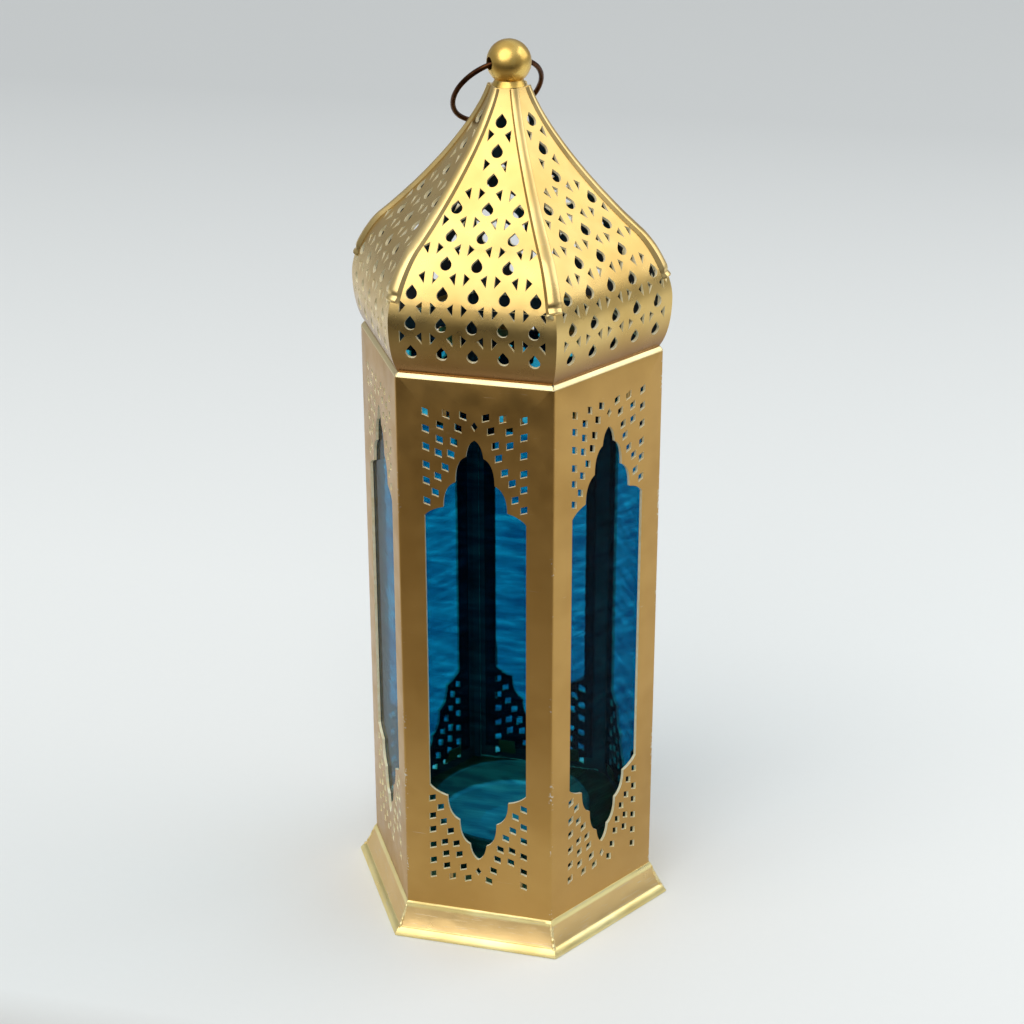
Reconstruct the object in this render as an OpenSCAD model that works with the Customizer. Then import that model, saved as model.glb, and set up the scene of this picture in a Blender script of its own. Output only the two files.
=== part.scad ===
// A six-sided pierced sheet-metal lantern with a domed top, blue glass
// panes, a hinged door at the back, a candle cup and a hanging ring.
// Millimetres, +Z up, origin at the centre of the foot.
// The corners of the body stand at 0, 60, ... 300 degrees.

/* [Body] */
// Width of each of the six faces, corner to corner
face_w = 50; // [47:0.5:54]
// Height of the walls that shows above the base skirt
wall_h = 191.3; // [185:0.1:205]
// Thickness of the sheet that the walls and the dome are cut from
sheet_t = 0.6; // [0.5:0.05:0.7]
// Outside radius of the fold along the top of a wall
fold_r = 1.5; // [1.2:0.1:1.8]
// Depth of the flange folded in at the top, from the face of the wall
flange_d = 4.5; // [4:0.1:7]
// Gap cut between the flanges at each corner
notch_w = 1.6; // [1:0.1:2.4]
// Length of wall that runs down inside the base skirt
wall_tuck = 3.5; // [2:0.1:5]

/* [Piercings of the walls] */
// Width of a small slanted hole
pierce_w = 2.3; // [1.6:0.1:2.6]
// Height of a small slanted hole
pierce_h = 2.4; // [1.6:0.1:2.6]
// Slant of the ends of a small hole, in degrees
pierce_lean = 18; // [0:1:30]
// Width of the diamond hole above and below the window
diamond_w = 2.1; // [1.2:0.1:2.4]
// Height of the diamond hole above and below the window
diamond_h = 3.2; // [1.8:0.1:3.4]

/* [Base] */
// Height of the base skirt
base_h = 11.5; // [10:0.1:14]
// How far the foot of the skirt stands out from the face of a wall
base_out = 5.5; // [4.5:0.1:8]
// Radius of the rolled bead along the foot of the skirt
bead_r = 1.5; // [1.2:0.1:1.8]
// Half the width of the flat under the bead
bead_flat = 0.8; // [0.5:0.1:0.9]
// Thickness of the skirt's sheet
skirt_t = 0.7; // [0.5:0.05:0.9]
// Height of the upright lip where the skirt meets the walls
lip_h = 1.2; // [0.8:0.1:2]
// Height of the top of the floor plate above the ground
floor_z = 19.4; // [18.6:0.1:19.6]
// Thickness of the floor plate
floor_t = 0.8; // [0.6:0.1:1.2]

/* [Candle cup] */
// Inside radius of the candle cup
cup_bore_r = 26.3; // [18:0.1:28]
// Height of the candle cup
cup_h = 9.9; // [8:0.1:14]
// Thickness of the candle cup's wall and floor
cup_t = 0.7; // [0.5:0.05:1]
// Radius of the rolled rim of the candle cup
cup_rim_r = 0.6; // [0.5:0.05:0.9]

/* [Glass] */
// Width of a pane
pane_w = 40; // [36:0.5:42]
// Distance from the top and bottom edges of the wall to the pane
pane_margin = 14; // [13.2:0.1:16]
// Thickness of a pane
pane_t = 2; // [1.6:0.1:2.4]
// Width of a clip that holds a pane
clip_w = 6; // [4:0.5:8]
// Thickness of a clip
clip_t = 0.5; // [0.4:0.05:0.7]
// Length of a clip's foot, soldered to the wall beyond the pane
clip_foot = 3; // [2:0.1:4]
// Length of a clip that laps over the pane
clip_lap = 3; // [2:0.1:5]
// Distance from the middle of a face to the middle of a clip
clip_x = 12; // [9:0.5:15]

/* [Dome] */
// Height of the dome
dome_h = 80.2; // [76:0.1:90]
// How far the dome's corners stand in from the body's at the foot
foot_in = 1.8; // [1.8:0.1:2.6]
// How far the dome's corners swell out past the body's
belly_out = 2.4; // [1:0.1:4]
// Height of the widest place of the dome
belly_h = 16.2; // [13:0.1:19]
// How far the dome's corners stand in where the cone begins
shoulder_in = 7.7; // [6:0.1:9]
// Height where the cone begins
shoulder_h = 36.7; // [34:0.1:40]
// Corner radius of the neck at the top of the dome
neck_r = 6.3; // [6.1:0.1:6.5]
// Width of a rib over a seam of the dome
rib_w = 4; // [3:0.1:5]
// Height of a rib above the seam
rib_h = 0.9; // [0.6:0.1:1.3]

/* [Piercings of the dome] */
// Width of a drop-shaped hole
drop_w = 3.6; // [2.6:0.1:4.2]
// Height of a drop-shaped hole
drop_h = 4.6; // [3.6:0.1:5.2]
// Height of a three-cornered hole
tri_h = 4; // [3:0.1:4.4]
// Distance between drops across the dome
drop_pitch = 9.6; // [9:0.1:11]
// Distance between rows of drops along the dome
row_pitch = 9.4; // [8.8:0.1:10.4]
// Distance from the foot to the middle of the first row
row_start = 8.3; // [7:0.1:10]
// Least distance from the seam to the middle of a drop
drop_edge = 5; // [4.6:0.1:5.6]
// Least distance from the seam to the middle of a cut drop
cut_drop_edge = 3.2; // [3:0.1:3.6]
// Least distance from the seam to the middle of a three-cornered hole
tri_edge = 2.9; // [2.9:0.1:4]

/* [Finial] */
// Radius of the ball
ball_r = 6.9; // [6.4:0.1:7.6]
// Height of the ball's centre above the dome
ball_rise = 7; // [6.6:0.1:8]
// Radius of the collar under the ball
collar_r = 5.5; // [5.4:0.1:6]
// Radius of the hole across the ball for the ring
cross_r = 2; // [1.9:0.1:2.3]
// Radius of the stud that holds the ball
stud_r = 1.5; // [1.2:0.1:1.8]
// Radius of the washer that bears on the inside of the dome
washer_r = 6.8; // [6.2:0.1:8]
// Thickness of the washer
washer_t = 0.8; // [0.6:0.1:1.2]
// Corner radius of the six-sided nut
nut_r = 3.4; // [3:0.1:4]
// Height of the nut
nut_h = 2.4; // [2:0.1:3]

/* [Hanging ring] */
// Radius of the ring, at the middle of its wire
ring_r = 14.5; // [14:0.1:16]
// Radius of the ring's wire
wire_r = 0.85; // [0.7:0.05:0.95]
// Direction of the hole across the ball, in degrees
ring_yaw = 40; // [0:1:90]
// Gap between the ring and the ribs that it leans on
ring_gap = 0.3; // [0.2:0.05:0.5]

/* [Door] */
// Height of the fixed strip under the door
sill_h = 8.4; // [8.2:0.1:9]
// Height of the fixed strip over the door, fold included
lintel_h = 8; // [7.4:0.1:8.6]
// Gap above and below the door
door_gap = 0.3; // [0.3:0.05:0.5]
// Gap between the door and each corner of the body
door_side = 0.8; // [0.8:0.05:1.2]

/* [Hinges] */
// Length of a hinge
hinge_h = 24; // [18:1:32]
// Distance from the door's ends to the middle of a hinge
hinge_in = 35; // [25:1:50]
// Radius of a hinge knuckle
knuckle_r = 1.5; // [1.4:0.05:1.5]
// Distance from the face of the door to the hinge pin
hinge_stand = 1.8; // [1.8:0.05:2.1]
// Gap between two knuckles
knuckle_gap = 0.3; // [0.2:0.05:0.5]
// Radius of a hinge pin
pin_r = 0.8; // [0.7:0.05:0.9]
// Clearance round a pin in the knuckle that turns on it
pin_play = 0.15; // [0.1:0.05:0.25]
// Clearance round a pin or shank in the piece that holds it
seat_play = 0.05; // [0.03:0.01:0.08]
// Width of a hinge leaf
leaf_w = 8; // [6:0.5:12]
// Thickness of the leaf on the wall
leaf_t = 0.5; // [0.4:0.05:0.6]
// Radius of the head of a hinge pin
pin_head_r = 1.3; // [1.2:0.05:1.5]
// Height of the head of a hinge pin
pin_head_h = 0.6; // [0.5:0.1:1]

/* [Latch] */
// Length of the turn button, from its rivet to its tip
button_len = 11; // [9:0.5:14]
// Width of the turn button
button_w = 5; // [4.4:0.1:5.6]
// Thickness of the turn button
button_t = 0.8; // [0.6:0.1:1.2]
// Gap behind and in front of the turn button
button_gap = 0.25; // [0.2:0.05:0.4]
// Radius of the rivet's shank
rivet_r = 1; // [0.8:0.1:1.2]
// Radius of the rivet's head
rivet_head_r = 2; // [1.8:0.1:2.4]
// Thickness of the rivet's head and tail
rivet_head_t = 0.7; // [0.5:0.1:1]
// Distance of the rivet from the middle of the door
button_x = 19; // [16:0.5:19.5]

/* [Hidden] */

$fn = 64;

// Directions that the faces look to
FRONT = 270;
FRONT_RIGHT = 330;
FRONT_LEFT = 210;
BACK = 90;
BACK_RIGHT = 30;
BACK_LEFT = 150;

// Half the angle of one face, and its slope
half_angle = 30;
side_slope = tan(half_angle);
// Overrun of every cut
over = 1;
// Distance from the axis to the face of a wall, and heights
flat_r = face_w * cos(half_angle);
wall_top = base_h + wall_h;
wall_bottom = base_h - wall_tuck;
foot_r = flat_r + base_out;
dome_top = wall_top + dome_h;
ball_z = dome_top + ball_rise;
inner_r = flat_r - sheet_t;
total_h = ball_z + ball_r;

// Curves, lines and arcs
function cubic(p, t) = pow(1 - t, 3) * p[0] + 3 * t * pow(1 - t, 2) * p[1]
    + 3 * t * t * (1 - t) * p[2] + pow(t, 3) * p[3];
function bow(p, t) = pow(1 - t, 2) * p[0] + 2 * t * (1 - t) * p[1] + t * t * p[2];
function arc(c, r, a0, a1, n) = [for (i = [0:n]) let (a = a0 + (a1 - a0) * i / n) c + r * [cos(a), sin(a)]];
function reversed(list) = [for (i = [len(list) - 1:-1:0]) list[i]];
function flipped(list) = [for (i = [len(list) - 1:-1:0]) [-list[i].x, list[i].y]];

// Turns what is drawn facing +Y to the face that looks to a direction
module on_face(look) {
    rotate([0, 0, look - BACK]) children();
}

// The sixth of the plan that one face takes, moved out by a shift
module sector(z0, z1, shift = 0) {
    reach = foot_r + over;
    translate([0, shift, z0])
        linear_extrude(z1 - z0)
            polygon([[0, 0], [reach * side_slope, reach], [-reach * side_slope, reach]]);
}

// A section drawn as distance from the axis and height, run across a face
module run_across(width) {
    rotate([90, 0, 90])
        linear_extrude(width, center = true)
            children();
}

// A flat shape drawn as seen from outside, made a sheet with its face at y
module sheet_at(y, thickness) {
    translate([0, y, 0])
        rotate([90, 0, 0])
            linear_extrude(thickness)
                mirror([1, 0])
                    children();
}

// Window outline: cusps and the points that its lobes bow to, from the
// top down, as shares of the face's width and of the wall's height
cusp_shares = [[0, 0.104], [0.056, 0.1343], [0.126, 0.1803], [0.206, 0.2263], [0.328, 0.2441]];
bow_shares = [[0.046, 0.1105], [0.126, 0.1425], [0.206, 0.1895], [0.286, 0.2312]];
lobe_steps = 5;

// Small holes by their distance from the middle and from the wall's edge,
// as shares of the face's width and of the wall's height
all_hole_shares = [
    [0.312, 0.0627], [0.312, 0.0915], [0.312, 0.1228],
    [0.312, 0.1547], [0.312, 0.1824], [0.312, 0.2185],
    [0.072, 0.0638], [0.104, 0.0857], [0.132, 0.1103], [0.152, 0.1317],
    [0.224, 0.1082], [0.19, 0.1558], [0.238, 0.173], [0.256, 0.2018]
];
top_pair_shares = [[0.18, 0.0633], [0.22, 0.0836]];
bottom_pair_shares = [[0.232, 0.1317]];
diamond_share = 0.0805;

function place(share) = [share.x * face_w, wall_h / 2 - share.y * wall_h];

window_side = [for (i = [0:len(bow_shares) - 1]) for (s = [0:lobe_steps - 1])
    bow([place(cusp_shares[i]), place(bow_shares[i]), place(cusp_shares[i + 1])], s / lobe_steps)];
window_quarter = concat(window_side, [place(cusp_shares[len(cusp_shares) - 1])]);

module window_outline() {
    lower = [for (p = reversed(window_quarter)) [p.x, -p.y]];
    right = concat(window_quarter, lower);
    polygon(concat(right, flipped([for (i = [1:len(right) - 2]) right[i]])));
}

// One slanted hole at a place, side is 1 to the right and up is 1 at the top
module small_hole(share, side, up) {
    p = place(share);
    rise = side * up * pierce_w / 2 * tan(pierce_lean);
    translate([side * p.x, up * p.y])
        polygon([
            [-pierce_w / 2, -pierce_h / 2 - rise], [pierce_w / 2, -pierce_h / 2 + rise],
            [pierce_w / 2, pierce_h / 2 + rise], [-pierce_w / 2, pierce_h / 2 - rise]
        ]);
}

module diamond(up) {
    translate([0, up * place([0, diamond_share]).y])
        polygon([[0, -diamond_h / 2], [diamond_w / 2, 0], [0, diamond_h / 2], [-diamond_w / 2, 0]]);
}

// Every hole of a wall, drawn about the middle of the wall's height
module wall_holes() {
    window_outline();
    for (up = [-1, 1]) {
        diamond(up);
        for (side = [-1, 1])
            for (share = all_hole_shares)
                small_hole(share, side, up);
    }
    for (share = top_pair_shares) {
        small_hole(share, 1, 1);
        small_hole(share, -1, 1);
        small_hole(share, -1, -1);
    }
    for (share = bottom_pair_shares) {
        small_hole(share, 1, -1);
        small_hole(share, -1, -1);
        small_hole(share, -1, 1);
    }
}

wall_mid = base_h + wall_h / 2;
fold_z = wall_top - fold_r;
fold_steps = 6;

// A plain strip of wall between two heights
module strip(width, z0, z1) {
    translate([-width / 2, z0])
        square([width, z1 - z0]);
}

// The fold along the top of a wall and the flange that the dome stands on
module fold_and_flange() {
    c = [flat_r - fold_r, fold_z];
    intersection() {
        run_across(face_w)
            polygon(concat(
                arc(c, fold_r, 0, 90, fold_steps),
                [[flat_r - flange_d, wall_top], [flat_r - flange_d, wall_top - sheet_t]],
                arc(c, fold_r - sheet_t, 90, 0, fold_steps)
            ));
        sector(fold_z - over, wall_top + over, notch_w);
    }
}

module wall(look) {
    color("#a9834a") on_face(look) union() {
        intersection() {
            sheet_at(flat_r, sheet_t)
                difference() {
                    strip(face_w + over, wall_bottom, fold_z);
                    translate([0, wall_mid]) wall_holes();
                }
            sector(wall_bottom - over, wall_top + over);
        }
        fold_and_flange();
    }
}

sill_top = base_h + sill_h;
lintel_bottom = wall_top - lintel_h;
door_bottom = sill_top + door_gap;
door_top = lintel_bottom - door_gap;
door_half = face_w / 2 - door_side;
rivet_z = (lintel_bottom + fold_z) / 2;

module door_sill() {
    color("#a9834a") on_face(BACK) intersection() {
        sheet_at(flat_r, sheet_t) strip(face_w + over, wall_bottom, sill_top);
        sector(wall_bottom - over, wall_top);
    }
}

module door_lintel() {
    color("#a9834a") on_face(BACK) difference() {
        union() {
            intersection() {
                sheet_at(flat_r, sheet_t) strip(face_w + over, lintel_bottom, fold_z);
                sector(wall_bottom, wall_top);
            }
            fold_and_flange();
        }
        translate([button_x, flat_r + over, rivet_z])
            rotate([90, 0, 0])
                cylinder(r = rivet_r + seat_play, h = sheet_t + 2 * over);
    }
}

module door_panel() {
    color("#a9834a") on_face(BACK)
        sheet_at(flat_r, sheet_t)
            difference() {
                strip(2 * door_half, door_bottom, door_top);
                translate([0, wall_mid]) wall_holes();
            }
}

// Glass and the clips that hold it
pane_bottom = base_h + pane_margin;
pane_top = wall_top - pane_margin;

module pane(look) {
    color("#1684a8", 0.75) on_face(look)
        sheet_at(inner_r, pane_t) strip(pane_w, pane_bottom, pane_top);
}

// One clip: a foot on the wall and a tongue over the pane, up is 1 at the top
module clip(side, up) {
    edge = up > 0 ? pane_top : pane_bottom;
    back = inner_r - pane_t;
    translate([side * clip_x, 0, edge])
        mirror([0, 0, up > 0 ? 0 : 1])
            run_across(clip_w)
                polygon([
                    [inner_r, 0], [inner_r, clip_foot], [inner_r - clip_t, clip_foot],
                    [inner_r - clip_t, clip_t], [back - clip_t, clip_t],
                    [back - clip_t, -clip_lap], [back, -clip_lap], [back, 0]
                ]);
}

module clips(look) {
    color("#8f7a4c") on_face(look)
        for (side = [-1, 1])
            for (up = [-1, 1])
                clip(side, up);
}

// Base skirt: a rolled bead, a hollow slope and a lip against the walls
slope_bow_share = [0.64, 0.41];
bead_angle = 40;
slope_steps = 6;

module base_skirt() {
    c = [foot_r - bead_r, bead_r];
    low = c + bead_r * [cos(bead_angle), sin(bead_angle)];
    high = [flat_r + skirt_t, base_h - lip_h];
    mid = [low.x + (high.x - low.x) * slope_bow_share.x, low.y + (high.y - low.y) * slope_bow_share.y];
    slope = [for (i = [0:slope_steps]) bow([low, mid, high], i / slope_steps)];
    inside = [for (p = reversed(slope)) p - [skirt_t, 0]];
    section = concat(
        [[c.x - bead_flat, 0], [c.x + bead_flat, 0]],
        arc(c, bead_r, -bead_angle, bead_angle, slope_steps),
        slope,
        [[high.x, base_h], [flat_r, base_h]],
        inside,
        arc(c, bead_r, 180 - bead_angle, 180 + bead_angle, slope_steps)
    );
    color("#a9834a")
        rotate_extrude($fn = 6)
            polygon([for (p = section) [p.x / cos(half_angle), p.y]]);
}

module floor_plate() {
    color("#8f7a4c")
        translate([0, 0, floor_z - floor_t])
            linear_extrude(floor_t)
                polygon([for (i = [0:5]) inner_r / cos(half_angle) * [cos(60 * i), sin(60 * i)]]);
}

module candle_cup() {
    cup_r = cup_bore_r + cup_t;
    color("#c89b3f") translate([0, 0, floor_z]) {
        difference() {
            cylinder(r = cup_r, h = cup_h);
            translate([0, 0, cup_t]) cylinder(r = cup_bore_r, h = cup_h);
        }
        translate([0, 0, cup_h - cup_rim_r])
            rotate_extrude()
                translate([cup_r, 0]) intersection() {
                    circle(cup_rim_r);
                    translate([0, -cup_rim_r]) square(2 * cup_rim_r);
                }
    }
}

// Dome outline, from the foot up, as corner radius and height: the swell,
// the shoulder and the cone are one curve each
foot_pull_share = [0.57, 0.17];
belly_pull_share = 0.49;
shoulder_pull_share = 0.34;
shoulder_end_share = [0.455, 0.21];
cone_pull_share = [0.453, 0.312];
neck_pull_share = [0.114, 0.273];

dome_foot = [face_w - foot_in, wall_top];
dome_belly = [face_w + belly_out, wall_top + belly_h];
dome_shoulder = [face_w - shoulder_in, wall_top + shoulder_h];
dome_neck = [neck_r, dome_top];

// A point between two, by its shares of the way across and of the way up
function between(a, b, share) = [a.x + (b.x - a.x) * share.x, a.y + (b.y - a.y) * share.y];

swell = [
    dome_foot, between(dome_foot, dome_belly, foot_pull_share),
    [dome_belly.x, dome_belly.y - belly_pull_share * belly_h], dome_belly
];
shoulder = [
    dome_belly, [dome_belly.x, dome_belly.y + shoulder_pull_share * (shoulder_h - belly_h)],
    between(dome_shoulder, dome_belly, shoulder_end_share), dome_shoulder
];
cone = [
    dome_shoulder, between(dome_shoulder, dome_neck, cone_pull_share),
    between(dome_neck, dome_shoulder, neck_pull_share), dome_neck
];
swell_steps = 4;
shoulder_steps = 6;
cone_steps = 8;

corner_line = concat(
    [for (i = [0:swell_steps - 1]) cubic(swell, i / swell_steps)],
    [for (i = [0:shoulder_steps - 1]) cubic(shoulder, i / shoulder_steps)],
    [for (i = [0:cone_steps]) cubic(cone, i / cone_steps)]
);
// The same outline at the middle of a face, and that of the sheet's inside
face_line = [for (p = corner_line) [p.x * cos(half_angle), p.y]];
last = len(face_line) - 1;

function along(line, i) = let (d = line[min(i + 1, len(line) - 1)] - line[max(i - 1, 0)]) d / norm(d);
function outward(line, i) = let (d = along(line, i)) [d.y, -d.x];
// A point of a line moved out by a distance, the two ends moved level
function moved(line, i, by) = i == 0 || i == len(line) - 1
    ? line[i] + [by / outward(line, i).x, 0]
    : line[i] + by * outward(line, i);
function moved_line(line, by) = [for (i = [0:len(line) - 1]) moved(line, i, by)];

inside_line = moved_line(face_line, -sheet_t);

// Distance along the face from the foot, and the place there
function step_of(i) = i < last ? norm(face_line[i + 1] - face_line[i]) : 0;
way = [for (i = 0, s = 0; i <= last; s = s + step_of(i), i = i + 1) s];
function piece_at(s) = max([for (i = [0:last - 1]) if (way[i] <= s) i]);
function spot(s) = let (i = piece_at(s), d = face_line[i + 1] - face_line[i])
    face_line[i] + (s - way[i]) * d / norm(d);
function lean(s) = let (i = piece_at(s), d = face_line[i + 1] - face_line[i]) atan2(-d.x, d.y);
function seam_x(s) = spot(s).x * side_slope;

// Cuts a flat shape through the dome, square to its face
module cut_at(x, s) {
    p = spot(s);
    translate([x, p.x, p.y])
        rotate([lean(s) + 90, 0, 0])
            linear_extrude(drop_h, center = true)
                children();
}

drop_steps = 8;
module drop_shape() {
    r = drop_w / 2;
    tip = drop_h - r;
    turn = acos(r / tip);
    translate([0, r - drop_h / 2])
        polygon(concat([[0, tip]], arc([0, 0], r, 90 + turn, 450 - turn, drop_steps)));
}

// A drop that the seam cuts off: what is left is a small corner
module cut_drop_shape(side) {
    r = drop_w / 2;
    polygon([[-r * side / 2, drop_h / 4], [-r * side, -drop_h / 4], [r * side / 2, -drop_h / 4]]);
}

// Three-cornered hole beside a drop: an upright edge, its tip to the drop
tri_edge_share = 0.37;
tri_tip_share = 0.166;
tri_tip_up_share = 0.13;
tri_mid_share = 0.27;
module tri_shape(side) {
    x = side * tri_edge_share * drop_pitch;
    polygon([
        [x, -tri_h / 2], [x, tri_h / 2],
        [side * tri_tip_share * drop_pitch, tri_tip_up_share * tri_h]
    ]);
}

row_count = floor((way[last] - row_start) / row_pitch) + 1;
top_row_room = 2 * drop_h;
top_tri_room = 3 * drop_h;
columns = ceil(face_w / 2 / drop_pitch);

module dome_holes() {
    for (row = [0:row_count - 1]) {
        s = row_start + row * row_pitch;
        if (s < way[last] - top_row_room)
            for (col = [-columns:columns]) {
                room = seam_x(s) - abs(col * drop_pitch);
                if (room >= drop_edge)
                    cut_at(col * drop_pitch, s) drop_shape();
                else if (room >= cut_drop_edge)
                    cut_at(col * drop_pitch, s) cut_drop_shape(sign(col));
            }
        t = s + row_pitch / 2;
        if (t < way[last] - top_tri_room)
            for (col = [-columns:columns])
                for (side = [-1, 1]) {
                    x = col * drop_pitch + side * tri_mid_share * drop_pitch;
                    if (seam_x(t) - abs(x) >= tri_edge)
                        cut_at(col * drop_pitch, t) tri_shape(side);
                }
    }
}

module gore(look) {
    color("#bd9650") on_face(look) difference() {
        intersection() {
            run_across(2 * face_w) polygon(concat(face_line, reversed(inside_line)));
            sector(wall_top - over, dome_top + over);
        }
        dome_holes();
    }
}

// The space inside one face of the dome, out to the sheet's outside, wide
// enough for two of them to lap a little at a seam
seam_lap = 0.05;
module gore_space() {
    intersection() {
        run_across(2 * face_w)
            polygon(concat(face_line, [
                [face_line[last].x, dome_top + over], [0, dome_top + over], [0, wall_top]
            ]));
        sector(wall_top - over, dome_top + 2 * over, -seam_lap);
    }
}

// A rib covers a seam from part of the way up the shoulder to the neck
rib_start_share = 0.3;
rib_line = concat(
    [for (i = [0:shoulder_steps - 1])
        cubic(shoulder, rib_start_share + (1 - rib_start_share) * i / shoulder_steps)],
    [for (i = [0:cone_steps]) cubic(cone, i / cone_steps)]
);

module rib(corner) {
    color("#cfa95c") on_face(corner) difference() {
        run_across(rib_w)
            polygon(concat(moved_line(rib_line, rib_h), reversed(moved_line(rib_line, -rib_w / 2))));
        for (turn = [-half_angle, half_angle])
            rotate([0, 0, turn]) gore_space();
    }
}

module finial_ball() {
    color("#c79a45") difference() {
        union() {
            translate([0, 0, ball_z]) sphere(ball_r);
            translate([0, 0, dome_top]) cylinder(r = collar_r, h = ball_rise);
        }
        translate([0, 0, ball_z])
            rotate([0, 90, ring_yaw])
                cylinder(r = cross_r, h = 2 * (ball_r + over), center = true);
        translate([0, 0, dome_top - over])
            cylinder(r = stud_r + seat_play, h = stud_top - dome_top + over + seat_play);
    }
}

// The stud stops short of the cross hole by a wall of the ball
ball_wall = 0.8;
stud_top = ball_z - cross_r - ball_wall;
// The washer lies where the inside of the dome is as wide as it is
washer_seat = min([for (i = [0:last - 1])
    if (inside_line[i].x >= washer_r && inside_line[i + 1].x < washer_r)
        inside_line[i].y + (inside_line[i + 1].y - inside_line[i].y)
            * (inside_line[i].x - washer_r) / (inside_line[i].x - inside_line[i + 1].x)]);
washer_top = washer_seat - seat_play;
nut_top = washer_top - washer_t;
stud_tail = 2;

module finial_stud() {
    color("#9a9a96")
        translate([0, 0, nut_top - nut_h - stud_tail])
            cylinder(r = stud_r, h = stud_top - nut_top + nut_h + stud_tail);
}

module finial_washer() {
    color("#9a9a96") translate([0, 0, nut_top]) difference() {
        cylinder(r = washer_r, h = washer_t);
        translate([0, 0, -over]) cylinder(r = stud_r + seat_play, h = washer_t + 2 * over);
    }
}

module finial_nut() {
    color("#9a9a96") translate([0, 0, nut_top - nut_h]) difference() {
        cylinder(r = nut_r, h = nut_h, $fn = 6);
        translate([0, 0, -over]) cylinder(r = stud_r + seat_play, h = nut_h + 2 * over);
    }
}

// The ring bows past the middle of the cross hole by half its sagitta
ring_drop = ring_r - (ring_r - sqrt(ring_r * ring_r - ball_r * ball_r)) / 2;
ring_steps = 48;
function ring_point(tilt, u) = let (
        side = ring_r * sin(u), down = ring_drop + ring_r * cos(u),
        y = down * sin(tilt), z = -down * cos(tilt))
    [side * cos(ring_yaw) - y * sin(ring_yaw), side * sin(ring_yaw) + y * cos(ring_yaw), ball_z + z];
// How far a point stands out along a direction, and beside it
function ahead(p, a) = p.x * cos(a) + p.y * sin(a);
function beside(p, a) = abs(p.x * sin(a) - p.y * cos(a));
function to_piece(q, a, b) = let (d = b - a, t = max(0, min(1, (q - a) * d / (d * d)))) norm(q - a - t * d);
function to_line(q, line) = min([for (i = [0:last - 1]) to_piece(q, line[i], line[i + 1])]);
function to_faces(p) = to_line([max([for (a = [half_angle:60:360]) ahead(p, a)]), p.z], face_line);
function to_ribs(p) = min(concat([ring_r], [for (a = [0:60:300])
    if (ahead(p, a) > 0 && beside(p, a) < rib_w / 2 + wire_r) to_line([ahead(p, a), p.z], corner_line) - rib_h]));
function least_gap(tilt) = min(concat([ring_r], [for (i = [0:ring_steps - 1])
    let (p = ring_point(tilt, 360 * i / ring_steps)) if (p.z < dome_top) min(to_faces(p), to_ribs(p)) - wire_r]));
function leans_clear(tilt) = least_gap(tilt) >= ring_gap;
tilt_step = 0.25;
ring_tilt = min([for (a = [90:-tilt_step:20]) if (leans_clear(a) && leans_clear(a + tilt_step)) a]);

module hanging_ring() {
    color("#3a2418")
        translate([0, 0, ball_z])
            rotate([0, 0, ring_yaw])
                rotate([ring_tilt, 0, 0])
                    translate([0, 0, -ring_drop])
                        rotate([90, 0, 0])
                            rotate_extrude()
                                translate([ring_r, 0]) circle(wire_r, $fn = 32);
}

// Hinge pin line, behind the left edge of the door
pin_x = -door_half;
pin_y = flat_r + hinge_stand;
knuckle_h = (hinge_h - 2 * knuckle_gap) / 3;
hinge_low = door_bottom + hinge_in - hinge_h / 2;
hinge_high = door_top - hinge_in - hinge_h / 2;

// Knuckle number 0, 1 or 2 of a hinge, from the bottom
module knuckle(n) {
    translate([pin_x, pin_y, n * (knuckle_h + knuckle_gap)])
        cylinder(r = knuckle_r, h = knuckle_h);
}

module body_leaf(z) {
    inward = flat_r - (pin_x * cos(BACK_LEFT) + pin_y * sin(BACK_LEFT));
    color("#b08d4a") translate([0, 0, z]) difference() {
        union() {
            for (n = [0, 2]) {
                knuckle(n);
                translate([pin_x, pin_y, n * (knuckle_h + knuckle_gap)])
                    rotate([0, 0, BACK_LEFT - BACK])
                        translate([-leaf_w, inward, 0])
                            cube([leaf_w, leaf_t, knuckle_h]);
            }
            translate([pin_x, pin_y, 0])
                rotate([0, 0, BACK_LEFT - BACK])
                    translate([-leaf_w, inward, 0])
                        cube([leaf_w - 2 * knuckle_r, leaf_t, hinge_h]);
        }
        translate([pin_x, pin_y, -over]) cylinder(r = pin_r + seat_play, h = hinge_h + 2 * over);
    }
}

module door_leaf(z) {
    color("#b08d4a") translate([0, 0, z]) difference() {
        union() {
            knuckle(1);
            translate([pin_x, flat_r, knuckle_h + knuckle_gap])
                cube([knuckle_r, hinge_stand - pin_r, knuckle_h]);
            translate([pin_x, flat_r, knuckle_h + knuckle_gap])
                cube([leaf_w, sheet_t, knuckle_h]);
            translate([pin_x + 2 * knuckle_r, flat_r, 0])
                cube([leaf_w - 2 * knuckle_r, sheet_t, hinge_h]);
        }
        translate([pin_x, pin_y, 0]) cylinder(r = pin_r + pin_play, h = hinge_h);
    }
}

module hinge_pin(z) {
    color("#9a9a96") translate([pin_x, pin_y, z]) {
        cylinder(r = pin_r, h = hinge_h);
        translate([0, 0, hinge_h]) cylinder(r = pin_head_r, h = pin_head_h);
    }
}

// The turn button lies along the lintel and turns down over the door
button_y = flat_r + button_gap;

module latch_rivet() {
    back = inner_r - rivet_head_t;
    front = button_y + button_t + button_gap;
    color("#9a9a96") translate([button_x, 0, rivet_z]) rotate([-90, 0, 0]) {
        translate([0, 0, back]) cylinder(r = rivet_r, h = front - back + rivet_head_t);
        translate([0, 0, back]) cylinder(r = rivet_head_r, h = rivet_head_t);
        translate([0, 0, front]) cylinder(r = rivet_head_r, h = rivet_head_t);
    }
}

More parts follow.
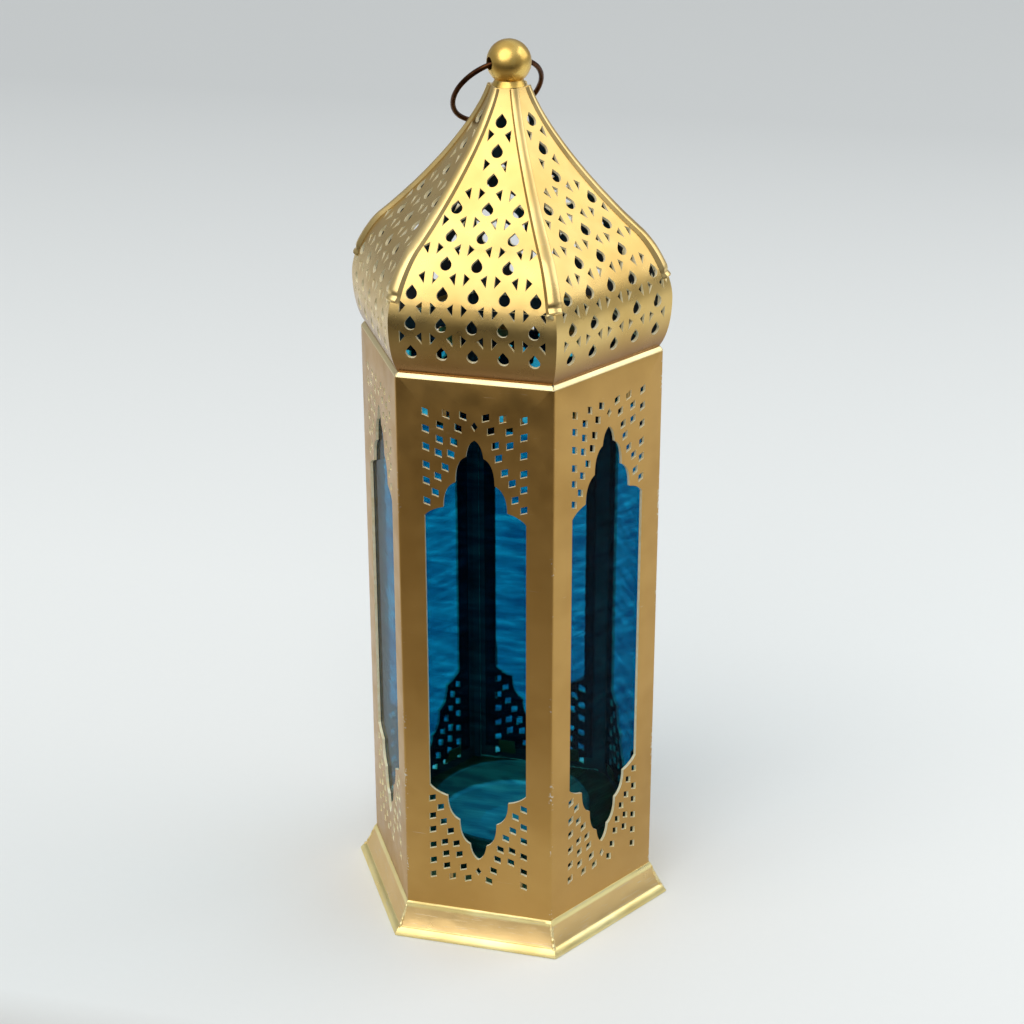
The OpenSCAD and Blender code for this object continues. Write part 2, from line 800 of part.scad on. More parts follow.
module turn_button() {
    color("#b08d4a") translate([button_x, button_y, rivet_z]) rotate([-90, 0, 0]) difference() {
        union() {
            cylinder(r = button_w / 2, h = button_t);
            translate([button_w / 2 - button_len, -button_w / 2, 0])
                cube([button_len - button_w / 2, button_w, button_t]);
            translate([button_w / 2 - button_len, 0, 0])
                cylinder(r = button_w / 2, h = button_t);
        }
        translate([0, 0, -over]) cylinder(r = rivet_r + pin_play, h = button_t + 2 * over);
    }
}

base_skirt();
floor_plate();
candle_cup();
wall(FRONT);  // wall_front
wall(FRONT_RIGHT);  // wall_front_right
wall(FRONT_LEFT);  // wall_front_left
wall(BACK_RIGHT);  // wall_back_right
wall(BACK_LEFT);  // wall_back_left
door_sill();
door_lintel();
pane(FRONT);  // pane_front
pane(FRONT_RIGHT);  // pane_front_right
pane(FRONT_LEFT);  // pane_front_left
pane(BACK_RIGHT);  // pane_back_right
pane(BACK_LEFT);  // pane_back_left
clips(FRONT);  // clips_front
clips(FRONT_RIGHT);  // clips_front_right
clips(FRONT_LEFT);  // clips_front_left
clips(BACK_RIGHT);  // clips_back_right
clips(BACK_LEFT);  // clips_back_left
gore(FRONT);  // gore_front
gore(FRONT_RIGHT);  // gore_front_right
gore(FRONT_LEFT);  // gore_front_left
gore(BACK);  // gore_back
gore(BACK_RIGHT);  // gore_back_right
gore(BACK_LEFT);  // gore_back_left
rib(0);  // rib_right
rib(60);  // rib_back_right
rib(120);  // rib_back_left
rib(180);  // rib_left
rib(240);  // rib_front_left
rib(300);  // rib_front_right
finial_ball();
finial_stud();
finial_washer();
finial_nut();
body_leaf(hinge_high);  // hinge_upper_body_leaf
body_leaf(hinge_low);  // hinge_lower_body_leaf
hinge_pin(hinge_high);  // hinge_upper_pin
hinge_pin(hinge_low);  // hinge_lower_pin
latch_rivet();
door_panel();
pane(BACK);  // door_pane
clips(BACK);  // door_clips
door_leaf(hinge_high);  // hinge_upper_door_leaf
door_leaf(hinge_low);  // hinge_lower_door_leaf
turn_button();
hanging_ring();
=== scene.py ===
"""Looks of a six-sided pierced sheet-metal lantern with blue glass.

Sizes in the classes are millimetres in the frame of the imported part: +Z up,
origin at the centre of the foot, corners at 0, 60, ... 300 degrees.
"""

import logging
import math
from bisect import bisect_right
from collections.abc import Callable, Iterable, Sequence
from dataclasses import dataclass, field
from enum import Enum

import bmesh
import bpy
from bmesh.types import BMesh
from bpy.types import Node, NodeSocket, NodeTree
from mathutils import Matrix, Vector, noise


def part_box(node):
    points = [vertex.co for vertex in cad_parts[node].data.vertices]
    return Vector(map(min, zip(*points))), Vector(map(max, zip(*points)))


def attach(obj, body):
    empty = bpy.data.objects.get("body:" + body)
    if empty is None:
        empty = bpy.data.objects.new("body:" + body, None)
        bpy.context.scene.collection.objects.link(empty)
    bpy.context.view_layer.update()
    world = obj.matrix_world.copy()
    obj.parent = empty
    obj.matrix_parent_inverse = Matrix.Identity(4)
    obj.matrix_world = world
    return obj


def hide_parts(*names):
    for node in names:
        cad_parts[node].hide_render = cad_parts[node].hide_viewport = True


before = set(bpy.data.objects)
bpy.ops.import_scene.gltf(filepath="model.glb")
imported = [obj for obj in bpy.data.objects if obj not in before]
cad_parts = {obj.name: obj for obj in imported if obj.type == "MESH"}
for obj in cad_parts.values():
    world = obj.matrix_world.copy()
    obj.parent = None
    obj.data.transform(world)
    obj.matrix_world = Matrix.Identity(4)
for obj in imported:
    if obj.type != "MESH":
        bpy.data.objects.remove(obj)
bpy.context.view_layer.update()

MM = 0.001
MERGE = 1e-4  # in millimetres: points nearer than this become one
CRISP = math.radians(35)  # edges sharper than this stay crisp
LOG = logging.getLogger("lantern")
Point = tuple[float, float]
HALF_ANGLE = math.radians(30)
SLOPE = math.tan(HALF_ANGLE)


class Look(Enum):
    """The directions that the six faces look to, in degrees."""

    FRONT = 270
    FRONT_RIGHT = 330
    FRONT_LEFT = 210
    BACK = 90
    BACK_RIGHT = 30
    BACK_LEFT = 150

    @property
    def word(self) -> str:
        """The direction as CAD nodes name it."""
        return self.name.lower()

    @property
    def turn(self) -> Matrix:
        """Turns what is drawn facing +Y to this direction."""
        return Matrix.Rotation(math.radians(self.value - Look.BACK.value), 4, "Z")


def linear(colour: str) -> tuple[float, float, float, float]:
    """Turns an sRGB hex colour to linear light.

    Args:
        colour: Six hex digits after a "#".

    Returns:
        Red, green and blue in linear light, and an alpha of 1.
    """
    parts = [int(colour[i : i + 2], 16) / 255 for i in (1, 3, 5)]
    r, g, b = (c / 12.92 if c <= 0.04045 else ((c + 0.055) / 1.055) ** 2.4 for c in parts)
    return r, g, b, 1.0


def per_mm(size: float) -> float:
    """Gives the texture scale at which one feature is about size millimetres."""
    return 1 / (size * MM)


def top_of(node: str) -> float:
    """The height of the top of a CAD node, in millimetres."""
    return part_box(node)[1].z / MM


def add_node(
    tree: NodeTree,
    kind: str,
    inputs: dict | None = None,
    stops: Sequence[tuple[float, tuple]] | None = None,
    **settings: object,
) -> Node:
    """Adds one node to a material.

    Args:
        tree: The material's nodes.
        kind: The node's Blender type, without the "ShaderNode" that all begin with.
        inputs: For each input, by name or number, a value, a socket, or a node for its first output.
        stops: Places and linear colours, for a colour ramp.
        **settings: The node's own settings.

    Returns:
        The new node.
    """
    made = tree.nodes.new(f"ShaderNode{kind}")
    for name, value in settings.items():
        setattr(made, name, value)
    for key, value in (inputs or {}).items():
        if isinstance(value, Node):
            value = value.outputs[0]
        if isinstance(value, NodeSocket):
            tree.links.new(value, made.inputs[key])
        else:
            made.inputs[key].default_value = value
    if stops:
        ramp = made.color_ramp.elements
        while len(ramp) < len(stops):
            ramp.new(0.5)
        for element, (place, colour) in zip(ramp, stops):
            element.position, element.color = place, colour
    return made


@dataclass(frozen=True)
class Finish:
    """A surface of the lantern: its name and the colour it mostly has."""

    name: str
    colour: str

    def material(self) -> bpy.types.Material:
        """Makes the material the first time, and finds it again after that."""
        found = bpy.data.materials.get(self.name)
        if found:
            return found
        made = bpy.data.materials.new(self.name)
        made.use_nodes = True
        tree = made.node_tree
        tree.nodes.clear()
        surface = self.paint(tree)
        add_node(tree, "OutputMaterial", {"Surface": surface})
        return made

    def paint(self, tree: NodeTree) -> NodeSocket:
        """Adds the finish's nodes and returns the socket of its shader."""
        raise NotImplementedError

    @staticmethod
    def place(tree: NodeTree) -> NodeSocket:
        """The place on the object, in metres."""
        return add_node(tree, "TexCoord").outputs["Object"]

    @staticmethod
    def coats(
        tree: NodeTree,
        amount: Node | NodeSocket,
        tones: Sequence[tuple[float, str]],
        layers: Iterable[tuple[str, Node | NodeSocket]] = (),
    ) -> NodeSocket:
        """Mixes a surface's colour from clouds of a few tones and the layers over them.

        Args:
            tree: The material's nodes.
            amount: What chooses among the tones, from 0 to 1.
            tones: Each tone, with the amount where it is reached.
            layers: The colour of each layer, with how much of it there is.

        Returns:
            The colour.
        """
        stops = [(place, linear(tone)) for place, tone in tones]
        mixed = add_node(tree, "ValToRGB", {0: amount}, stops=stops).outputs[0]
        for tone, share in layers:
            inputs = {"Factor": share, 6: mixed, 7: linear(tone)}
            mixed = add_node(tree, "Mix", inputs, data_type="RGBA").outputs[2]
        return mixed


@dataclass(frozen=True)
class GoldLacquer(Finish):
    """Gold-tinted lacquer sprayed over tinned sheet iron, satin and a little uneven.

    It gives the eye a warm metal whose reflections are soft, cloudy patches
    where the spray lay thicker, a fine pebble of spray grain, scratches that
    catch the light, and chips along the corners where pale tin shows. Between
    the band's two heights, which fade over its third size, it has another tint,
    which is painted light and shade: a painted highlight on the walls' top fold,
    a painted shade on the dome's foot, and on the skirt the tan of the slope,
    between a bead and a lip whose paler colour is a painted highlight.
    """

    shade: str = "#a4793f"
    bare: str = "#d8d2c2"
    roughness: float = 0.34
    cloud: float = 26.0
    smear: float = 9.0
    grain: float = 0.7
    grain_depth: float = 0.02
    dent: float = 24.0
    dent_depth: float = 0.16
    corner: float = 49.45
    corner_fade: float = 0.35
    chip: float = 0.9
    chip_level: float = 0.62
    chip_patch: float = 22.0
    coat_t: float = 0.05
    scratch: Point = (9.0, 0.4)
    scratch_level: float = 0.8
    scratch_turns: tuple = ((0.5, 1 / 3), (-0.9, 11 / 9))
    # The band of painted light and shade: its low and high heights and its fade, in millimetres, and its
    # tone. By default the band is empty, and the tone is the pale painted highlight of the walls' top fold.
    light_and_shade_band: tuple[float, float, float] = (-10.0, -10.0, 1.0)
    light_and_shade_tone: str = "#f3dfa8"

    def chips(self, tree: NodeTree, place: NodeSocket) -> NodeSocket:
        """The chipped spots, 1 where tin shows: ragged, and only by the corners."""
        flat = add_node(tree, "VectorMath", {0: place, 1: (1, 1, 0)}, operation="MULTIPLY")
        reach = add_node(tree, "VectorMath", {0: flat}, operation="LENGTH")
        near = add_node(
            tree,
            "MapRange",
            {0: reach.outputs["Value"], 1: self.corner * MM, 2: (self.corner + self.corner_fade) * MM},
        )
        ragged, patch = (
            add_node(tree, "TexNoise", {"Vector": place, "Scale": per_mm(size), "Detail": detail})
            for size, detail in ((self.chip, 2), (self.chip_patch, 1))
        )
        both = add_node(tree, "Math", {0: ragged, 1: patch}, operation="ADD")
        worn = add_node(
            tree, "MapRange", {0: both, 1: 2 * self.chip_level - 0.04, 2: 2 * self.chip_level + 0.02}
        )
        return add_node(tree, "Math", {0: near, 1: worn}, operation="MULTIPLY").outputs[0]

    def in_light_and_shade_band(self, tree: NodeTree, place: NodeSocket) -> NodeSocket:
        """1 between the band's two heights, where light and shade are painted into the lacquer's colour."""
        low, high, soft = (length * MM for length in self.light_and_shade_band)
        height = add_node(tree, "SeparateXYZ", {0: place}).outputs["Z"]
        above = add_node(tree, "MapRange", {0: height, 1: low - soft, 2: low})
        below = add_node(tree, "MapRange", {0: height, 1: high + soft, 2: high})
        return add_node(tree, "Math", {0: above, 1: below}, operation="MULTIPLY").outputs[0]

    def scratches(self, tree: NodeTree, place: NodeSocket) -> NodeSocket:
        """Thin bright scratches, 1 on a scratch: a long thin noise where it is highest."""
        lines = []
        length, width = (per_mm(size) for size in self.scratch)
        for turn, tip in self.scratch_turns:
            drawn = add_node(
                tree,
                "Mapping",
                {"Vector": place, "Rotation": (turn, tip, turn), "Scale": (length, length, width)},
            )
            streak = add_node(
                tree, "TexNoise", {"Vector": drawn, "Scale": 1.0, "Detail": 1, "Distortion": 0.8}
            )
            lines.append(
                add_node(
                    tree, "MapRange", {0: streak, 1: self.scratch_level, 2: self.scratch_level + 0.05}
                ).outputs[0]
            )
        return add_node(tree, "Math", {0: lines[0], 1: lines[1]}, operation="MAXIMUM").outputs[0]

    def paint(self, tree: NodeTree) -> NodeSocket:
        """Adds the lacquer's nodes and returns its shader."""
        place = self.place(tree)
        cloud, smear, grain, dents = (
            add_node(
                tree,
                "TexNoise",
                {"Vector": place, "Scale": per_mm(size), "Detail": detail, "Roughness": share},
            )
            for size, detail, share in (
                (self.cloud, 3, 0.55), (self.smear, 4, 0.5), (self.grain, 1, 0.5), (self.dent, 1, 0.5),
            )
        )
        chips, scratches = self.chips(tree, place), self.scratches(tree, place)
        faint = add_node(tree, "Math", {0: scratches, 1: 0.4}, operation="MULTIPLY")
        worn = add_node(tree, "Math", {0: chips, 1: faint}, operation="MAXIMUM")
        # Over the clouded tones: first the painted light and shade of the band, then the real wear of chips
        # and scratches.
        layers = ((self.light_and_shade_tone, self.in_light_and_shade_band(tree, place)), (self.bare, worn))
        sheen = add_node(
            tree, "MapRange", {0: smear, 1: 0.3, 2: 0.7, 3: self.roughness - 0.06, 4: self.roughness + 0.08}
        )
        normal = add_node(tree, "Bump", {"Height": dents, "Strength": 1.0, "Distance": self.dent_depth * MM})
        for height, strength, depth, sunk in (
            (grain, 0.5, self.grain_depth, False), (worn, 0.6, self.coat_t, True)
        ):
            normal = add_node(
                tree,
                "Bump",
                {"Height": height, "Normal": normal, "Strength": strength, "Distance": depth * MM},
                invert=sunk,
            )
        return add_node(
            tree,
            "BsdfPrincipled",
            {
                "Base Color": self.coats(tree, cloud, ((0.36, self.shade), (0.6, self.colour)), layers),
                "Metallic": 1.0,
                "Roughness": sheen,
                "Normal": normal,
                "Coat Weight": 0.12,
                "Coat Roughness": 0.25,
            },
        ).outputs[0]


@dataclass(frozen=True)
class PlainMetal(Finish):
    """Bare or thinly coated metal with a cloudy tarnish and fine handling marks."""

    shade: str = "#6d6a64"
    roughness: float = 0.3
    metallic: float = 1.0
    cloud: float = 3.0
    cloud_ends: Point = (0.34, 0.6)
    spread: Point = (0.12, -0.05)
    mark: float = 0.5
    mark_depth: float = 0.02

    def marks(self, tree: NodeTree, place: NodeSocket) -> NodeSocket:
        """The height of the marks on the metal."""
        return add_node(
            tree, "TexNoise", {"Vector": place, "Scale": per_mm(self.mark), "Detail": 2}
        ).outputs[0]

    def painted_shade_layers(self, tree: NodeTree, place: NodeSocket) -> Sequence[tuple[str, Node]]:
        """The painted shade laid over its tones, of which plain metal has none."""
        return ()

    def paint(self, tree: NodeTree) -> NodeSocket:
        """Adds the metal's nodes and returns its shader."""
        place = self.place(tree)
        cloud = add_node(
            tree, "TexNoise", {"Vector": place, "Scale": per_mm(self.cloud), "Detail": 4}
        )
        tones = tuple(zip(self.cloud_ends, (self.shade, self.colour)))
        rough = [self.roughness + more for more in self.spread]
        sheen = add_node(tree, "MapRange", {0: cloud, 1: 0.3, 2: 0.7, 3: rough[0], 4: rough[1]})
        bump = add_node(
            tree,
            "Bump",
            {"Height": self.marks(tree, place), "Strength": 0.4, "Distance": self.mark_depth * MM},
        )
        return add_node(
            tree,
            "BsdfPrincipled",
            {
                "Base Color": self.coats(tree, cloud, tones, self.painted_shade_layers(tree, place)),
                "Metallic": self.metallic,
                "Roughness": sheen,
                "Normal": bump,
            },
        ).outputs[0]


@dataclass(frozen=True)
class SpunSheet(PlainMetal):
    """Tin-washed sheet spun on a lathe: dull and pale, with fine turning rings, and a painted shade that
    darkens its side above the floor.
    """

    shade: str = "#b7a468"
    roughness: float = 0.42
    metallic: float = 0.3
    cloud: float = 12.0
    cloud_ends: Point = (0.35, 0.62)
    spread: Point = (-0.06, 0.1)
    mark: float = 1.1
    # The painted shade's tone, the height where it starts, and the height over which it fades in.
    side: str = "#7d8a74"
    painted_shade_low: float = 0.0
    painted_shade_fade: float = 0.8

    def marks(self, tree: NodeTree, place: NodeSocket) -> NodeSocket:
        """The height of the turning rings."""
        return add_node(
            tree,
            "TexWave",
            {"Vector": place, "Scale": per_mm(self.mark) / 10, "Distortion": 0.4, "Detail": 1},
            wave_type="RINGS",
            rings_direction="Z",
        ).outputs[1]

    def painted_shade_layers(self, tree: NodeTree, place: NodeSocket) -> Sequence[tuple[str, Node]]:
        """Painted shade up the side, where the cup's wall stands in shade."""
        low, high = self.painted_shade_low * MM, (self.painted_shade_low + self.painted_shade_fade) * MM
        height = add_node(tree, "SeparateXYZ", {0: place}).outputs["Z"]
        return ((self.side, add_node(tree, "MapRange", {0: height, 1: low, 2: high})),)


@dataclass(frozen=True)
class RolledGlass(Finish):
    """Blue soda-lime glass rolled with a water ripple; the colour is a whole pane's tint.

    Where a ripple is thick the glass is deeper in colour, where it is thin
    it is paler. The index is low, so that the panes hardly mirror the room,
    and lamp light goes through to what is behind.
    """

    shade: str = "#1b82a8"
    ripple: float = 2.1
    run: float = 14.0
    depth: float = 0.08
    shadow_share: float = 0.1

    def paint(self, tree: NodeTree) -> NodeSocket:
        """Adds the glass's nodes and returns its shader."""
        place = self.place(tree)
        run = per_mm(self.run)
        drawn = add_node(tree, "Mapping", {"Vector": place, "Scale": (run, run, per_mm(self.ripple))})
        drag = add_node(
            tree,
            "TexNoise",
            {"Vector": drawn, "Scale": 1.0, "Detail": 3, "Roughness": 0.5, "Distortion": 0.8},
        )
        bump = add_node(tree, "Bump", {"Height": drag, "Strength": 0.5, "Distance": self.depth * MM})
        body = add_node(
            tree,
            "BsdfPrincipled",
            {
                "Base Color": self.coats(tree, drag, ((0.4, self.shade), (0.64, self.colour))),
                "Roughness": 0.03,
                "IOR": 1.08,
                "Transmission Weight": 1.0,
                "Normal": bump,
            },
        )
        one_face = (*(c**self.shadow_share for c in linear(self.colour)[:3]), 1.0)
        clear = add_node(tree, "BsdfTransparent", {"Color": one_face})
        path = add_node(tree, "LightPath")
        return add_node(tree, "MixShader", {0: path.outputs["Is Shadow Ray"], 1: body, 2: clear}).outputs[0]


@dataclass(frozen=True)
class StudioPaper(Finish):
    """Matt studio paper, pale round the lantern, with painted shade darker out of sight in front and a little
    darker far behind, standing in for light that falls off away from the lantern.
    """

    low: float = -600.0
    high: float = 1100.0
    # Painted shade: the paper's tone at each distance in front of and behind the lantern, in millimetres;
    # None keeps the paper's own colour.
    painted_falloff: tuple = (
        (-560, "#2a2621"), (-450, "#5f584e"), (-290, "#9c958b"), (-170, "#9c958b"),
        (-110, None), (200, None), (1100, "#c6cacc"),
    )
    fibre: float = 3.0

    def paint(self, tree: NodeTree) -> NodeSocket:
        """Adds the paper's nodes and returns its shader."""
        place = self.place(tree)
        away = add_node(tree, "SeparateXYZ", {0: place}).outputs["Y"]
        fade = add_node(tree, "MapRange", {0: away, 1: self.low * MM, 2: self.high * MM})
        span = self.high - self.low
        tones = [((y - self.low) / span, tone or self.colour) for y, tone in self.painted_falloff]
        fibre = add_node(tree, "TexNoise", {"Vector": place, "Scale": per_mm(self.fibre), "Detail": 3})
        soft = add_node(tree, "MapRange", {0: fibre, 3: 0.985, 4: 1.0})
        inputs = {0: self.coats(tree, fade, tones), "Scale": soft}
        colour = add_node(tree, "VectorMath", inputs, operation="SCALE")
        return add_node(tree, "BsdfPrincipled", {"Base Color": colour, "Roughness": 0.9}).outputs[0]


WALL_TOP = top_of("wall_front")
NO_CHIPS = 60.0  # in millimetres: no corner is so far out
# The band paints a pale highlight on the walls' top fold.
BODY_LACQUER = GoldLacquer(
    "gold_lacquer_body", "#be9654", shade="#b28a49", cloud=34.0, light_and_shade_band=(WALL_TOP - 1.4, WALL_TOP + 9, 0.2)
)
# The band paints a dark brown shade on the dome's foot, fading out about 11 mm above the walls.
DOME_LACQUER = GoldLacquer(
    "gold_lacquer_dome", "#dcbd78", shade="#cfad66", roughness=0.28, corner=NO_CHIPS, dent=16.0,
    scratch_level=0.82, light_and_shade_band=(0, WALL_TOP + 1, 11), light_and_shade_tone="#8a6236",
)
RIB_LACQUER = GoldLacquer(
    "gold_lacquer_ribs", "#ebd090", shade="#debe78", roughness=0.32, corner=NO_CHIPS, dent=12.0
)
# The pale colour, outside the band, is a painted highlight on the bead and the lip; the band gives the slope
# its tan.
SKIRT_LACQUER = GoldLacquer(
    "gold_lacquer_skirt", "#f7e9a8", shade="#ecd68e", roughness=0.33, corner=NO_CHIPS, dent=9.0,
    scratch_level=0.68, light_and_shade_band=(3.4, top_of("base_skirt") - 2.3, 0.6), light_and_shade_tone="#e2c184",
)
FITTING_LACQUER = GoldLacquer(
    "gold_lacquer_fittings", "#c69d5c", shade="#a87f42", roughness=0.3, corner=NO_CHIPS, dent=6.0, cloud=7.0
)
CUT_EDGE = PlainMetal("cut_sheet_edge", "#fbf2d2", shade="#efe0b2", roughness=0.55, metallic=0.2, cloud=2.0)
# Dark grey inside of the walls and gores: painted shade for the dim inside of the lantern, whose clips and
# floor are pale tinned sheet.
SHADED_INSIDE = PlainMetal(
    "shade_darkened_sheet_inside", "#54585e", shade="#3c3f44", roughness=0.5, metallic=0.6, cloud=14.0
)
INNER_SHEET = PlainMetal("tinned_sheet_inside", "#b59a66", shade="#8a7247", roughness=0.42, cloud=14.0)
# The grey-green side, from just above the floor upwards, is painted shade on the cup's wall.
CUP_SHEET = SpunSheet("spun_sheet_cup", "#fbf9f0", shade="#f0ecde", painted_shade_low=top_of("candle_cup") - 8.4)
BALL_BRASS = PlainMetal(
    "polished_brass_ball", "#e3c06c", shade="#cfa653", roughness=0.27, cloud=5.0, mark=0.8
)
ZINC_STEEL = PlainMetal("zinc_plated_steel", "#b9bab6", shade="#8f8f8a", roughness=0.34)
DARK_BRONZE = PlainMetal("dark_bronze_wire", "#55351f", shade="#321b0f", roughness=0.24, cloud=4.0)
SOLDER = PlainMetal("lacquered_solder", "#f6e5ae", shade="#dcc07e", roughness=0.34, cloud=2.0)
BLUE_GLASS = RolledGlass("rolled_blue_glass", "#3cbad4")
PAPER = StudioPaper("studio_paper", "#e8eced")


def new_mesh(bm: BMesh, name: str) -> bpy.types.Mesh:
    """Turns what is drawn into a mesh, and frees it."""
    made = bpy.data.meshes.new(name)
    bm.to_mesh(made)
    bm.free()
    return made


def new_object(name: str, data: bpy.types.ID) -> bpy.types.Object:
    """Puts an object with its data into the scene."""
    made = bpy.data.objects.new(name, data)
    bpy.context.scene.collection.objects.link(made)
    return made


def keep_as_mesh(piece: bpy.types.Object) -> None:
    """Makes what a piece's modifiers give its own mesh, with its crisp edges marked."""
    bpy.context.view_layer.update()
    made = bpy.data.meshes.new_from_object(piece.evaluated_get(bpy.context.evaluated_depsgraph_get()))
    piece.modifiers.clear()
    piece.data = made
    made.set_sharp_from_angle(angle=CRISP)


def to_piece(
    bm: BMesh,
    name: str,
    finish: Finish,
    body: str = "root",
    nodes: Sequence[str] = (),
    thickness: float = 0.0,
    lining: Sequence[Finish] = (),
    edge: float = 0.0,
) -> bpy.types.Object:
    """Turns a mesh in millimetres into a dressed piece that rides on its body.

    Args:
        bm: The piece's mesh, in place. It is freed.
        name: The piece's name.
        finish: Its surface.
        body: The CAD body that it moves with.
        nodes: The CAD nodes that it stands for.
        thickness: How far a sheet is thickened inwards, or 0 for a solid.
        lining: A sheet's cut edge and inside, where they differ from its face.
        edge: Width of the rounding on sharp edges, or 0 for none.

    Returns:
        The piece.
    """
    bmesh.ops.scale(bm, vec=(MM, MM, MM), verts=bm.verts)
    for face in bm.faces:
        face.smooth = True
    piece = new_object(name, new_mesh(bm, name))
    for surface in (finish, *lining):
        piece.data.materials.append(surface.material())
    if thickness:
        wall = piece.modifiers.new("sheet", "SOLIDIFY")
        wall.thickness, wall.offset = thickness * MM, -1
        if lining:
            wall.material_offset_rim, wall.material_offset = 1, 2
        keep_as_mesh(piece)
    if edge:
        soft = piece.modifiers.new("edges", "BEVEL")
        soft.width, soft.segments = edge * MM, 2
        soft.limit_method, soft.angle_limit = "ANGLE", CRISP
        soft.harden_normals, soft.use_clamp_overlap = True, False
    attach(piece, body)
    if nodes:
        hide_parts(*nodes)
    LOG.info("%s: %d faces in %s, on %s", name, len(piece.data.polygons), finish.name, body)
    return piece


def pierced_sheet(outline: Sequence[Point], holes: Iterable[Sequence[Point]]) -> BMesh:
    """Cuts a flat sheet, drawn as seen from outside.

    Args:
        outline: The sheet's outline.
        holes: The outline of each hole.

    Returns:
        The sheet in the XY plane, facing +Z.
    """
    bm = bmesh.new()
    for loop in (outline, *holes):
        corners = [bm.verts.new((x, y, 0)) for x, y in loop]
        for i, corner in enumerate(corners):
            bm.edges.new((corners[i - 1], corner))
    bmesh.ops.triangle_fill(bm, use_beauty=True, use_dissolve=False, edges=bm.edges[:])
    bm.normal_update()
    wrong = [f for f in bm.faces if f.normal.z < 0]
    if wrong:
        bmesh.ops.reverse_faces(bm, faces=wrong)
    return bm


def score(bm: BMesh, levels: Iterable[float], along: Vector) -> None:
    """Cuts a sheet's faces across at levels, so that it can bend there.

    Args:
        bm: The sheet.
        levels: Distances along the direction.
        along: The direction.
    """
    for level in levels:
        geom = bm.verts[:] + bm.edges[:] + bm.faces[:]
        bmesh.ops.bisect_plane(bm, geom=geom, dist=MERGE, plane_co=along * level, plane_no=along)


def reshape(bm: BMesh, rule: Callable[[Vector], Vector]) -> None:
    """Moves each point of a mesh to where the rule puts it."""
    for vert in bm.verts:
        vert.co = rule(vert.co)


def spun(profile: Sequence[Point], steps: int, closed: bool = False) -> BMesh:
    """Spins a profile round the Z axis.

    Args:
        profile: Radius and height of each point, outside facing right when it runs up.
        steps: Number of steps in a turn.
        closed: Whether the last point joins the first.

    Returns:
        The closed shape.
    """
    bm = bmesh.new()
    points = [bm.verts.new((r, 0, z)) for r, z in profile]
    for pair in zip(points, points[1:]):
        bm.edges.new(pair)
    if closed:
        bm.edges.new((points[-1], points[0]))
    full_turn(bm, steps)
    return bm


def full_turn(bm: BMesh, steps: int) -> None:
    """Spins all of a mesh once round the Z axis and closes it, with its faces outwards."""
    bmesh.ops.spin(
        bm, geom=bm.verts[:] + bm.edges[:], cent=(0, 0, 0), axis=(0, 0, 1), angle=math.tau, steps=steps,
        use_merge=True, use_duplicate=False,
    )
    bmesh.ops.remove_doubles(bm, verts=bm.verts, dist=MERGE)
    bmesh.ops.recalc_face_normals(bm, faces=bm.faces)


def moved(bm: BMesh, by: Matrix) -> BMesh:
    """Moves a whole mesh by a matrix and hands it on."""
    bmesh.ops.transform(bm, matrix=by, verts=bm.verts)
    return bm


def box_mm(node: str) -> tuple[Vector, Vector]:
    """The lowest and highest corner of a CAD node, in millimetres."""
    low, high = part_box(node)
    return low / MM, high / MM


def softened(node: str) -> BMesh:
    """Copies a CAD node's mesh in millimetres, merged, with its flats made whole."""
    bm = bmesh.new()
    bm.from_mesh(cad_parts[node].data)
    bmesh.ops.scale(bm, vec=(1 / MM, 1 / MM, 1 / MM), verts=bm.verts)
    bmesh.ops.remove_doubles(bm, verts=bm.verts, dist=0.002)
    bmesh.ops.dissolve_limit(
        bm, angle_limit=math.radians(1), verts=bm.verts, edges=bm.edges, use_dissolve_boundaries=False
    )
    return bm


def bow(a: Point, b: Point, c: Point, t: float) -> Point:
    """A point of the curve from a to c that bows to b."""
    return tuple((1 - t) ** 2 * p + 2 * t * (1 - t) * q + t * t * r for p, q, r in zip(a, b, c))


def cubic(points: Sequence[Point], t: float) -> Point:
    """A point of a cubic curve with two pulls between its ends."""
    shares = ((1 - t) ** 3, 3 * t * (1 - t) ** 2, 3 * t * t * (1 - t), t**3)
    return tuple(sum(k * p[i] for k, p in zip(shares, points)) for i in (0, 1))


def arc(centre: Point, radius: float, start: float, end: float, steps: int) -> list[Point]:
    """Points of an arc between two angles in degrees."""
    turns = [math.radians(start + (end - start) * i / steps) for i in range(steps + 1)]
    return [(centre[0] + radius * math.cos(a), centre[1] + radius * math.sin(a)) for a in turns]


def step_at(ways: Sequence[float], way: float) -> tuple[int, float]:
    """Which step of a line a way along it is in, and the share of that step."""
    i = min(max(bisect_right(ways, way) - 1, 0), len(ways) - 2)
    return i, (way - ways[i]) / (ways[i + 1] - ways[i])


def wobble(at: Vector, size: float, seed: float) -> float:
    """Smooth noise from -1 to 1 at a place, with features of about size."""
    return noise.noise(at / size + Vector((seed, 2 * seed, 3 * seed)))


@dataclass(frozen=True)
class Plan:
    """Sizes that several sub-assemblies share."""

    face_w: float = 50.0
    sheet_t: float = 0.6
    seen_t: float = 0.95
    base_h: float = top_of("base_skirt")
    wall_top: float = top_of("wall_front")

    @property
    def flat_r(self) -> float:
        """Distance from the axis to the face of a wall."""
        return self.face_w * math.cos(HALF_ANGLE)

    @property
    def inner_r(self) -> float:
        """Distance from the axis to the inside of a wall."""
        return self.flat_r - self.sheet_t


